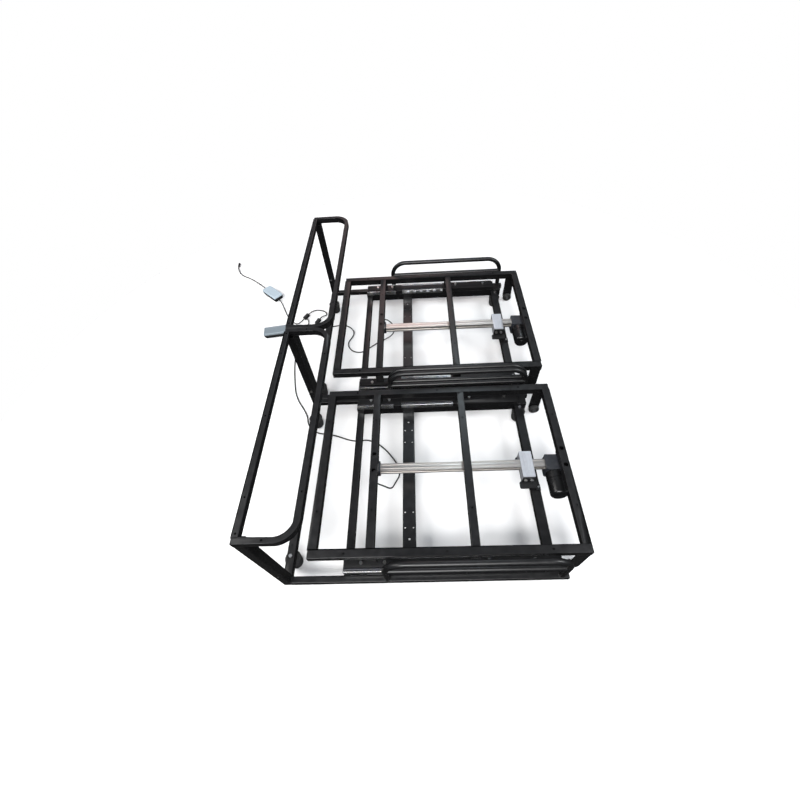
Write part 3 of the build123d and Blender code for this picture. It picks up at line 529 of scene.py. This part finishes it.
def saddle_weld(centre, inward, radius, bead_radius=0.0015, pulls=48):
    """A rippled bead round the saddle where a bar meets a leg as thick as itself."""
    def spot(i):
        angle = math.tau * i / pulls
        return centre + Vector((inward * radius * abs(math.sin(angle)), radius * math.cos(angle),
                                radius * math.sin(angle)))
    bead = bmesh.new()
    capped_circle(bead, spot(0), spot(1) - spot(0), bead_radius, 6)
    for i in range(pulls):
        verts = draw_out(bead, spot(i + 1) - spot(i))
        swell = (0.80, 1.25)[i % 2]
        about = Matrix.Translation(-spot(i + 1))
        bmesh.ops.scale(bead, vec=(swell,) * 3, verts=verts, space=about)
    close_end(bead)
    return bead


def steel_frames(module):
    """Tubes, posts, plates and beams with drawn corners."""
    platform = module.node("platform")
    for part in ("base_frame", "shelf_posts", "shelf_frame"):
        rounded_piece(module, part, "base", "paint")
    rounded_piece(module, "cross_plate", "base", "paint", 0.0015)
    rounded_piece(module, "side_beams", "base", "paint", 0.0015, 0.2)
    rounded_piece(module, "platform_frame", platform, "paint")
    rounded_piece(module, "leg_plates", platform, "paint", 0.0006, 0.05)


# ---------------------------------------------------------------- slides
def slides(module):
    """Rolled slide members, their cages and the brackets over them."""
    platform, runners = module.node("platform"), module.node("runners")
    rounded_piece(module, "outer_slide_rails", "base", "zinc", 0.0008, 0.2)
    # The middle members' zinc is darkened as painted shade.
    rounded_piece(module, "middle_slide_rails", runners, "greased", 0.0007, 0.2)
    rounded_piece(module, "inner_slide_rails", platform, "slide_black", 0.0008, 0.2)
    rounded_piece(module, "slide_brackets", platform, "slide_black", 0.0006, 0.02)
    wear_finish(module.node("ball_strips"), "balls")


# ---------------------------------------------------------------- actuator
def threaded_screw(module):
    """The drive screw: a profile spun and raised at once, so the thread is one helix."""
    node = module.node("lead_screw")
    low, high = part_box(node)
    y, z = module.middle, (low.z + high.z) / 2
    journal, root, crest, pitch = 0.004, 0.0050, 0.0060, 0.010
    steps, rear_journal, front_journal = 16, 0.015, 0.012
    rail_low, rail_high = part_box(module.node("actuator_rail"))
    turns = int((rail_high.x - rail_low.x) / pitch) - 1
    start = Vector((rail_low.x + 0.002, y, z))
    whole = bmesh.new()
    profile = ((0, root), (0.0035, root), (0.0045, crest), (0.0075, crest), (0.0085, root),
               (pitch, root))
    verts = [whole.verts.new(start + Vector((along, 0, radius))) for along, radius in profile]
    edges = [whole.edges.new(pair) for pair in zip(verts, verts[1:])]
    bmesh.ops.spin(whole, geom=verts + edges, cent=start, axis=(1, 0, 0), angle=math.tau * turns,
                   dvec=(pitch / steps, 0, 0), steps=steps * turns)
    bmesh.ops.remove_doubles(whole, verts=whole.verts, dist=JOIN)
    bmesh.ops.recalc_face_normals(whole, faces=whole.faces)
    core = bmesh.new()
    length, core_radius = high.x - low.x, root - 0.0002
    ends = ((0, 0), (0, journal), (rear_journal, journal), (rear_journal, core_radius),
            (length - front_journal, core_radius), (length - front_journal, journal),
            (length, journal), (length, 0))
    lathe(core, ends, Vector((low.x, y, z)), (1, 0, 0), 20)
    add_mesh(whole, core)
    return finish_piece(node + "_shown", whole, "screw_steel", module.node("screw"),
                        [node])


def motor(module):
    """The motor: a drawn can with a rolled end, a groove and a clamp band."""
    node = module.node("motor")
    low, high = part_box(node)
    centre = Vector(((low.x + high.x) / 2, low.y, (low.z + high.z) / 2))
    radius, length = (high.x - low.x) / 2, high.y - low.y
    face, flat, can, roll, arcs = 0.0012, radius * 0.45, radius - 0.0006, 0.0108, 8
    band, band_wide, groove = length - 0.024, 0.020, radius - 0.0014
    profile = [(0.0, 0.0), (0.0, 0.010), (face, 0.0115), (face, flat)]
    for i in range(1, arcs + 1):
        a = math.pi / 2 * i / arcs
        profile.append((face + roll * (1 - math.cos(a)), flat + (can - flat) * math.sin(a)))
    profile += [(band - 0.002, can), (band - 0.0015, groove), (band - 0.0005, groove),
                (band, radius), (band + band_wide, radius), (length - 0.003, radius - 0.001),
                (length, radius - 0.001), (length, 0.0)]
    return turned_piece(node + "_shown", [(profile, centre, (0, 1, 0))], "motor_paint",
                        module.node("platform"), [node], 56)


def gear_housing(module):
    """The gear housing: a moulded box with softened edges."""
    rounded_piece(module, "gear_housing", module.node("platform"), "housing",
                  0.0016, 0.02)


def slider(module):
    """The slider block, its bracket, the rail through it and the rail's rear mount."""
    platform = module.node("platform")
    rounded_piece(module, "slider_block", "base", "block", 0.0007, 0.025)
    rounded_piece(module, "slider_bracket", "base", "slide_black", 0.0009, 0.012)
    rounded_piece(module, "rear_mount", platform, "housing", 0.0012, 0.015)
    rounded_piece(module, "actuator_rail", platform, "rail", 0.0006, 0.3)
    wear_finish(module.node("drive_nut"), "bronze")


# ---------------------------------------------------------------- feet, wheels, fasteners
def rubber_feet(module):
    """Turned rubber feet with grooves round them."""
    node = module.node("rubber_feet")
    low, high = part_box(node)
    top, base = 0.025, 0.021
    tall = high.z - low.z
    feet = []
    profile = [(0.0, 0.0), (0.0, base - 0.004), (0.0015, base - 0.0005), (0.004, base)]
    depth = 0.0008
    for z in (0.010, 0.016, 0.022):
        wall = base + (top - base) * z / tall
        profile += [(z, wall), (z + 0.0008, wall - depth), (z + 0.0020, wall - depth),
                    (z + 0.0028, wall)]
    profile += [(tall - 0.001, top), (tall, top - 0.001), (tall, 0.0)]
    for x in (low.x + top, high.x - top):
        for y in (low.y + top, high.y - top):
            feet.append((profile, Vector((x, y, 0)), (0, 0, 1)))
    return turned_piece(node + "_shown", feet, "rubber", "base", [node], 44)


def floor_wheels(module):
    """Moulded wheels with a crowned tread, a rim groove and a hub."""
    node = module.node("floor_wheels")
    low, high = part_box(node)
    radius, width, bore = (high.z - low.z) / 2, 0.014, 0.00405
    centre_x, centre_z = (low.x + high.x) / 2, (low.z + high.z) / 2
    hub, web = 0.0075, 0.0022
    half = ((0.0, bore), (0.0, hub), (0.0012, hub + 0.0005), (web, hub + 0.002),
            (web, radius * 0.74), (0.0006, radius * 0.78), (0.0006, radius - 0.0028),
            (web, radius - 0.0006), (0.0048, radius))
    profile = list(half) + [(width - along, r) for along, r in reversed(half)] + [half[0]]
    places = [Vector((centre_x, y, centre_z)) for y in (low.y, high.y - width)]
    wheels = [(profile, place, (0, 1, 0)) for place in places]
    return turned_piece(node + "_shown", wheels, "nylon", module.node("wheels"),
                        [node], 48)


def fasteners(module):
    """Zinc finishes on the bolts that keep their CAD shape."""
    wear_finish(module.node("base_bolts"), "zinc")
    wear_finish(module.node("platform_bolts"), "zinc")


# ---------------------------------------------------------------- supplies and leads
def beside(centre, turn, x, y, z):
    """A point given from the middle of a turned box that stands on the floor."""
    offset = Matrix.Rotation(turn, 3, "Z") @ Vector((x, y, 0))
    return HOME + centre + offset + Vector((0, 0, z))


def lead_routes():
    """Every lead's listed points, from one end to the other."""
    f, half = FLOOR, SUPPLY_SIZE.x / 2

    def laid(*points):
        return [HOME + Vector(p) for p in points]

    def plug(along):
        return beside(PLUG, TURN_PLUG, along, 0, PLUG_AT)

    def supply_a(along, across):
        return beside(SUPPLY_A, TURN_A, along, across, LEAD_AT)

    def supply_b(along, across):
        return beside(SUPPLY_B, TURN_B, along, across, LEAD_AT)

    def first(along):
        return beside(CONNECTOR_1, TURN_1, along, 0, CONNECTOR_MIDDLE)

    def second(along):
        return beside(CONNECTOR_2, TURN_2, along, 0, CONNECTOR_MIDDLE)

    return {
        "mains_lead": [
            supply_a(-half, 0.004), supply_a(-0.080, 0.004),
            *laid((-0.540, 1.556, f), (-0.590, 1.596, f), (-0.645, 1.628, f)),
            plug(-0.040), plug(-0.018)],
        "supply_lead": [
            supply_a(half, -0.006), supply_a(0.078, -0.006),
            *laid((-0.345, 1.320, f), (-0.305, 1.235, f), (-0.262, 1.200, f)),
            first(-0.042), first(-0.017)],
        "link_lead": [
            first(0.017), first(0.038),
            *laid((-0.175, 1.305, f), (-0.130, 1.290, f), (-0.118, 1.258, f)),
            second(0.040), second(0.017)],
        "box_lead": [
            supply_b(half, 0.012), supply_b(0.078, 0.012),
            *laid((-0.245, 1.150, f), (-0.212, 1.178, f), (-0.203, 1.204, f),
                  (-0.206, 1.222, 0.006), (-0.215, 1.236, 0.008))],
        "far_motor_lead": [
            second(-0.017), second(-0.040),
            *laid((-0.130, 1.165, f), (-0.080, 1.176, f), (-0.022, 1.184, f), (0.020, 1.152, f),
                  (0.030, 1.110, f), (0.000, 1.056, f), (0.022, 1.005, f), (0.070, 0.990, f),
                  (0.100, 1.014, f), (0.150, 1.056, f), (0.215, 1.090, f + 0.006),
                  (0.228, 1.092, 0.060), (0.200, 1.085, 0.112), (0.179, 1.078, 0.118),
                  (0.179, 1.0475, 0.118))],
        "near_motor_lead": [
            supply_b(half, -0.008), supply_b(0.080, -0.008),
            *laid((-0.236, 1.080, f), (-0.232, 0.950, f), (-0.210, 0.826, f), (-0.188, 0.740, f),
                  (-0.128, 0.655, f), (-0.118, 0.600, f), (-0.078, 0.562, f), (-0.015, 0.556, f),
                  (0.074, 0.517, f), (0.130, 0.529, f), (0.190, 0.490, f), (0.241, 0.421, f),
                  (0.254, 0.376, f), (0.236, 0.340, f + 0.006), (0.228, 0.292, 0.060),
                  (0.202, 0.284, 0.112), (0.179, 0.290, 0.118), (0.179, 0.3225, 0.118))],
    }


def lead_curve(name, points, thick):
    """A smooth line through a lead's route; no thickness gives its bare centre line."""
    data = bpy.data.curves.new(name, "CURVE")
    data.dimensions = "3D"
    data.resolution_u = 10
    data.bevel_depth = thick / 2
    data.bevel_resolution = 3
    data.use_fill_caps = True
    line = data.splines.new("NURBS")
    line.points.add(len(points) - 1)
    for point, place in zip(line.points, points):
        point.co = (*place, 1.0)
    line.order_u = 3
    line.use_endpoint_u = True
    piece = bpy.data.objects.new(name, data)
    bpy.context.scene.collection.objects.link(piece)
    return piece


def line_points(points):
    """The points along a lead's smooth centre line, and its length."""
    bare = lead_curve("centre_line", points, 0.0)
    mesh = bpy.data.meshes.new_from_object(bare)
    line = [v.co.copy() for v in mesh.vertices]
    bpy.data.meshes.remove(mesh)
    bpy.data.curves.remove(bare.data)
    return line, sum((b - a).length for a, b in zip(line, line[1:]))


def sheathed_lead(name, points):
    """A lead that lies still on the floor."""
    length = line_points(points)[1]
    piece = lead_curve(name, points, LEAD)
    piece.data.materials.append(FINISHES["sheath"])
    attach(piece, "base")
    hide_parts(name)
    return piece


def following_lead(module, name, points):
    """A motor's lead, made as a still mesh along its route."""
    line, length = line_points(points)
    shape = lead_curve("lead_shape", points, LEAD)
    data = bpy.data.meshes.new_from_object(shape)
    bpy.data.curves.remove(shape.data)
    data.materials.clear()
    data.materials.append(FINISHES["sheath"])
    data.shade_smooth()
    piece = bpy.data.objects.new(name, data)
    bpy.context.scene.collection.objects.link(piece)
    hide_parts(name)
    module.node("platform")
    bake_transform(piece)
    return piece


def strain_relief(name, mouth, along, body):
    """A tapered, ribbed sleeve round a lead where it leaves a casing."""
    length, wide, ribs = 0.026, 0.0055, 6
    neck = wide * 0.82
    profile = [(0.0, 0.0), (0.0, wide), (0.003, wide), (0.0035, neck)]
    for i in range(ribs):
        a = 0.004 + (length - 0.005) * i / ribs
        r = neck - (neck - LEAD / 2 - 0.0004) * i / ribs
        profile += [(a, r), (a + 0.0022, r), (a + 0.0026, r - 0.0009), (a + 0.0038, r - 0.0009)]
    profile += [(length, LEAD / 2 + 0.0003), (length, 0.0)]
    return turned_piece(name, [(profile, mouth, along)], "rubber", body, (), 24)


def supply_brick(name, centre, turn, lid_finish_with_glare):
    """A supply's two mouldings: a dark tray that narrows to the floor, and a lid with a seam."""
    size = SUPPLY_SIZE
    tray_tall, gap, seam_in, seam_tall = size.z * 0.62, 0.0008, 0.004, 0.003
    place = HOME + centre

    def slab(level, inset, tall):
        middle = place + Vector((0, 0, level))
        return block_mesh(middle, Vector((size.x - inset, size.y - inset, tall)), 0.0, turn)

    tray = slab(tray_tall / 2, 0, tray_tall)
    lower = [v for v in tray.verts if v.co.z < tray_tall / 2]
    bmesh.ops.scale(tray, vec=(0.90, 0.84, 1), verts=lower, space=turned_space(place, turn))
    bevel_all(tray, 0.0035)
    lid_tall = size.z - tray_tall - gap
    lid_level = tray_tall + gap + lid_tall / 2
    lid = slab(lid_level, 0, lid_tall)
    upper = [v for v in lid.verts if v.co.z > lid_level]
    bmesh.ops.scale(lid, vec=(0.965, 0.93, 1), verts=upper, space=turned_space(place, turn))
    bevel_all(lid, 0.0030)
    panel = max(lid.faces, key=lambda face: face.calc_center_median().z * 10 + face.calc_area())
    bmesh.ops.inset_region(lid, faces=[panel], thickness=0.006, depth=0.0)
    bmesh.ops.inset_region(lid, faces=[panel], thickness=0.0008, depth=-0.0007)
    add_mesh(tray, slab(tray_tall, seam_in, seam_tall))
    finish_piece(name + "_tray", tray, "shell", "base", [name])
    # The lid's finish also carries painted glare on its top face.
    finish_piece(name + "_lid", lid, lid_finish_with_glare, "base")


def turned_space(place, turn):
    """The inverse of a turned box's own place, as bmesh operators want it."""
    foot = Matrix.Translation(Vector((place.x, place.y, 0)))
    return (foot @ Matrix.Rotation(turn, 4, "Z")).inverted()


def bevel_all(mesh, radius):
    bmesh.ops.bevel(mesh, geom=list(mesh.edges), offset=radius, offset_type="OFFSET",
                    affect="EDGES", segments=4, profile=0.5, material=-1)


def lead_connector(name, centre, turn):
    """An in-line connector: two housings, a gap between them and a latch."""
    place = HOME + centre
    size = CONNECTOR_SIZE
    middle = place + Vector((0, 0, size.z / 2))
    neck = Vector((0.006, size.y - 0.004, size.z - 0.004))
    latch_at, latch = place + Vector((0, 0, size.z - 0.0014)), Vector((0.016, 0.005, 0.0026))
    along = Matrix.Rotation(turn, 3, "Z") @ Vector((1, 0, 0))
    whole = bmesh.new()
    for shift, long in ((-0.0085, 0.0165), (0.0088, 0.0160)):
        half = Vector((long, size.y, size.z))
        add_mesh(whole, block_mesh(middle + along * shift, half, 0.0016, turn))
    add_mesh(whole, block_mesh(middle, neck, 0, turn))
    add_mesh(whole, block_mesh(latch_at, latch, 0.0008, turn))
    return finish_piece(name, whole, "shell", "base")


def end_plug():
    """The barrel plug on the first lead's free end."""
    at = beside(PLUG, TURN_PLUG, -0.018, 0, PLUG_AT)
    along = beside(PLUG, TURN_PLUG, 0.018, 0, PLUG_AT) - at
    grip, groove, barrel = 0.0055, 0.0049, 0.0022
    profile = [(0.0, 0.0), (0.0, 0.0034), (0.004, 0.0036), (0.006, 0.0050)]
    for i in range(5):
        a = 0.008 + 0.0026 * i
        profile += [(a, grip), (a + 0.0012, grip), (a + 0.0016, groove), (a + 0.0022, groove)]
    profile += [(0.024, grip), (0.0345, grip), (0.0355, 0.0048), (0.0355, barrel),
                (0.026, barrel - 0.0001), (0.026, 0.0)]
    return turned_piece("lead_end_plug_shown", [(profile, at, along)], "shell", "base",
                        ["lead_end_plug"], 28)


def leads():
    """The supplies, connectors, plug and every lead between them."""
    routes = lead_routes()
    supply_brick("power_supply", SUPPLY_A, TURN_A, "lid")
    supply_brick("battery_pack", SUPPLY_B, TURN_B, "grey_lid")
    first = lead_connector("lead_connector_1", CONNECTOR_1, TURN_1)
    second = lead_connector("lead_connector_2", CONNECTOR_2, TURN_2)
    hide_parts("lead_connectors")
    plug = end_plug()
    pulls = ((NEAR, Vector((-0.150, 0.560, FLOOR))), (FAR, Vector((-0.060, 1.050, FLOOR))))
    for module, pull_from in pulls:
        name = module.node("motor_lead")
        following_lead(module, name, routes[name])
    still = {"mains_lead": ("plug", [plug]), "supply_lead": ("connector", [first]),
             "link_lead": ("connector", [second]), "box_lead": ("object", ())}
    for name, (far_end, pieces) in still.items():
        sheathed_lead(name, routes[name])
    for module in MODULES:
        *_, before, mouth = routes[module.node("motor_lead")]
        strain_relief(module.node("lead_sleeve"), mouth, before - mouth, module.node("platform"))


# ---------------------------------------------------------------- camera and stage
CAMERA_AT = Vector((-0.0093, -0.9503, 1.2994))
PITCH, YAW, ROLL = math.radians(53.39), math.radians(-3.48), math.radians(4.85)
SHIFT_X, SHIFT_Y = -0.0114, 0.0036
FLOOR_RADIUS, FLOOR_DROP = 1.8, 0.0006
HORIZON_LOW, HORIZON_HIGH = -0.35, 0.25
LAMPS = (
    # name, place, target, size, watts, colour
    ("key", (-0.6, -3.2, 3.4), (0, 0, 0), (3.0, 2.0), 260, (1, 1, 1)),
    ("fill_left", (-3.4, -0.2, 3.0), (0, 0, 0.1), (2.0, 2.0), 110, (1.0, 0.98, 0.96)),
    ("fill_right", (3.4, -0.8, 3.0), (0, 0, 0.1), (2.0, 2.0), 110, (0.96, 0.98, 1.0)),
    ("window", (0.32, 1.20, 1.8), (0.2, -0.1, 0.165), (0.42, 0.7), 6.0, (0.80, 0.93, 1.0)),
    ("warm_wall", (-0.15, 2.5, 1.7), (0.1, 0.35, 0.165), (0.9, 0.7), 5.0, (1.0, 0.66, 0.62)),
)


def make_camera(view):
    """The camera, aimed by its pitch, yaw and roll."""
    ahead = math.cos(PITCH)
    forward = Vector((math.sin(YAW) * ahead, math.cos(YAW) * ahead, -math.sin(PITCH)))
    level = Vector((math.cos(YAW), -math.sin(YAW), 0))
    down = forward.cross(level)
    right = level * math.cos(ROLL) + down * math.sin(ROLL)
    up = right.cross(forward)
    data = bpy.data.cameras.new("camera")
    data.sensor_width = 36.0
    data.lens = view.lens
    data.shift_x, data.shift_y = SHIFT_X, SHIFT_Y
    camera = bpy.data.objects.new("camera", data)
    turn = Matrix((right, up, -forward)).transposed().to_4x4()
    camera.matrix_world = Matrix.Translation(CAMERA_AT) @ turn
    bpy.context.scene.collection.objects.link(camera)
    bpy.context.scene.camera = camera


def soft_light(name, place, target, size, power, colour):
    data = bpy.data.lights.new(name, "AREA")
    data.shape = "RECTANGLE"
    data.size, data.size_y = size
    data.energy = power
    data.color = colour
    light = bpy.data.objects.new(name, data)
    light.location = place
    light.rotation_mode = "QUATERNION"
    light.rotation_quaternion = (Vector(target) - Vector(place)).to_track_quat("-Z", "Y")
    bpy.context.scene.collection.objects.link(light)


def make_stage(view):
    """A white floor and sky for the camera, dim air for the reflections, and soft lamps."""
    mesh = bmesh.new()
    bmesh.ops.create_circle(mesh, cap_ends=True, segments=64, radius=FLOOR_RADIUS)
    bmesh.ops.translate(mesh, vec=(0, 0, -FLOOR_DROP), verts=mesh.verts)
    data = bpy.data.meshes.new("studio_floor")
    mesh.to_mesh(data)
    mesh.free()
    data.materials.append(floor_paint(view.floor))
    floor = bpy.data.objects.new("studio_floor", data)
    bpy.context.scene.collection.objects.link(floor)
    floor.visible_glossy = False
    world = bpy.data.worlds.new("studio_air")
    world.use_nodes = True
    tree = world.node_tree
    air = tree.nodes["Background"]
    seen = tree.nodes.new("ShaderNodeLightPath").outputs["Is Camera Ray"]
    mix = tree.nodes.new("ShaderNodeMix")
    mix.data_type = "RGBA"
    toward = tree.nodes.new("ShaderNodeTexCoord").outputs["Generated"]
    height = tree.nodes.new("ShaderNodeSeparateXYZ")
    tree.links.new(toward, height.inputs[0])
    rise = tree.nodes.new("ShaderNodeMapRange")
    rise.inputs["From Min"].default_value = HORIZON_LOW
    rise.inputs["From Max"].default_value = HORIZON_HIGH
    tree.links.new(height.outputs[2], rise.inputs["Value"])
    sky = tree.nodes.new("ShaderNodeMix")
    sky.data_type = "RGBA"
    sky.inputs[6].default_value = (*view.under, 1.0)
    sky.inputs[7].default_value = (*view.air, 1.0)
    tree.links.new(rise.outputs[0], sky.inputs[0])
    tree.links.new(sky.outputs[2], mix.inputs[6])
    mix.inputs[7].default_value = (1.0, 1.0, 1.0, 1.0)
    tree.links.new(seen, mix.inputs[0])
    tree.links.new(mix.outputs[2], air.inputs["Color"])
    bpy.context.scene.world = world
    for lamp in LAMPS:
        soft_light(*lamp)
    bpy.context.scene.view_settings.view_transform = "Standard"


# ---------------------------------------------------------------- settings
def colour_setting(name, description, default):
    return FloatVectorProperty(name=name, description=description, subtype="COLOR", default=default)


class BEDBASE_PG_look(bpy.types.PropertyGroup):
    """Colours of the finishes."""

    paint: colour_setting("Paint", "Colour of the oven paint", (0.0042, 0.0042, 0.0045))
    dust: colour_setting("Dust", "Colour of the film on faces that look up",
                         (0.0105, 0.0105, 0.0112))
    paint_roughness: FloatProperty(
        name="Paint roughness", description="Roughness of the oven paint", default=0.26, min=0,
        max=1, subtype="FACTOR")
    zinc: colour_setting("Zinc", "Colour of the zinc plate", (0.66, 0.65, 0.62))
    # Zinc darkened as painted shade for the slides' middle members.
    greased: colour_setting("Shaded zinc", "Colour of the slides' greased middle members",
                            (0.11, 0.11, 0.115))
    alloy: colour_setting("Rail alloy", "Colour of the drawn rail", (0.62, 0.59, 0.56))
    block: colour_setting("Block alloy", "Colour of the slider block", (0.56, 0.58, 0.62))
    # The lids' colour also carries painted glare on the top faces.
    lid: colour_setting("Supply lid", "Colour of the supplies' lids", (0.40, 0.48, 0.54))


class BEDBASE_PG_view(bpy.types.PropertyGroup):
    """The studio."""

    lens: FloatProperty(
        name="Lens", description="Focal length of the camera", default=17.69, min=5, unit="CAMERA")
    floor: colour_setting("Floor", "Colour of the floor", (0.92, 0.92, 0.92))
    air: colour_setting("Air", "Colour of what the gloss mirrors from above", (0.22, 0.23, 0.25))
    under: colour_setting("Under", "Colour of what the gloss mirrors from below",
                          (0.04, 0.04, 0.04))


# ---------------------------------------------------------------- operators
class BEDBASE_OT_stage(bpy.types.Operator):
    """Sets the camera, the floor and the lamps"""

    bl_idname = "bedbase.stage"
    bl_label = "Stage"

    def execute(self, context):
        make_camera(context.scene.bedbase_view)
        make_stage(context.scene.bedbase_view)
        return {"FINISHED"}


class BEDBASE_OT_finishes(bpy.types.Operator):
    """Makes the finishes that the pieces wear"""

    bl_idname = "bedbase.finishes"
    bl_label = "Finishes"

    def execute(self, context):
        make_finishes(context.scene.bedbase_look)
        return {"FINISHED"}


class BEDBASE_OT_leads(bpy.types.Operator):
    """Lays the leads with their supplies, connectors and plug"""

    bl_idname = "bedbase.leads"
    bl_label = "Leads"

    def execute(self, context):
        leads()
        return {"FINISHED"}


class BEDBASE_OT_steelwork(bpy.types.Operator):
    """Rounds the tubes, bends the hoops and lays the weld beads"""

    bl_idname = "bedbase.steelwork"
    bl_label = "Steelwork"

    def execute(self, context):
        for module in MODULES:
            steel_frames(module)
            side_hoops(module)
            platform_welds(module)
            base_welds(module)
            shelf_welds(module)
        return {"FINISHED"}


class BEDBASE_OT_slides(bpy.types.Operator):
    """Dresses the slides, their cages and brackets"""

    bl_idname = "bedbase.slides"
    bl_label = "Slides"

    def execute(self, context):
        for module in MODULES:
            slides(module)
        return {"FINISHED"}


class BEDBASE_OT_actuators(bpy.types.Operator):
    """Makes the screws, motors, gear housings and slider blocks"""

    bl_idname = "bedbase.actuators"
    bl_label = "Actuators"

    def execute(self, context):
        for module in MODULES:
            threaded_screw(module)
            motor(module)
            gear_housing(module)
            slider(module)
        return {"FINISHED"}


class BEDBASE_OT_running_gear(bpy.types.Operator):
    """Makes the feet and wheels and finishes the bolts"""

    bl_idname = "bedbase.running_gear"
    bl_label = "Feet and wheels"

    def execute(self, context):
        for module in MODULES:
            rubber_feet(module)
            floor_wheels(module)
            fasteners(module)
        return {"FINISHED"}


class BEDBASE_PT_panel(bpy.types.Panel):
    """The bed base's tab in the sidebar"""

    bl_label = "Bed base"
    bl_idname = "BEDBASE_PT_panel"
    bl_space_type = "VIEW_3D"
    bl_region_type = "UI"
    bl_category = "Bed base"

    def draw(self, context):
        for operator in OPERATORS:
            self.layout.operator(operator.bl_idname)


OPERATORS = (BEDBASE_OT_finishes, BEDBASE_OT_stage, BEDBASE_OT_leads, BEDBASE_OT_steelwork,
             BEDBASE_OT_slides, BEDBASE_OT_actuators, BEDBASE_OT_running_gear)
CLASSES = (BEDBASE_PG_look, BEDBASE_PG_view, *OPERATORS, BEDBASE_PT_panel)


def register():
    for cls in CLASSES:
        bpy.utils.register_class(cls)
    bpy.types.Scene.bedbase_look = PointerProperty(type=BEDBASE_PG_look)
    bpy.types.Scene.bedbase_view = PointerProperty(type=BEDBASE_PG_view)


def unregister():
    del bpy.types.Scene.bedbase_view
    del bpy.types.Scene.bedbase_look
    for cls in reversed(CLASSES):
        bpy.utils.unregister_class(cls)


def main():
    register()
    bpy.ops.bedbase.finishes()
    bpy.ops.bedbase.stage()
    bpy.ops.bedbase.leads()
    bpy.ops.bedbase.steelwork()
    bpy.ops.bedbase.slides()
    bpy.ops.bedbase.actuators()
    bpy.ops.bedbase.running_gear()


if __name__ == "__main__":
    main()
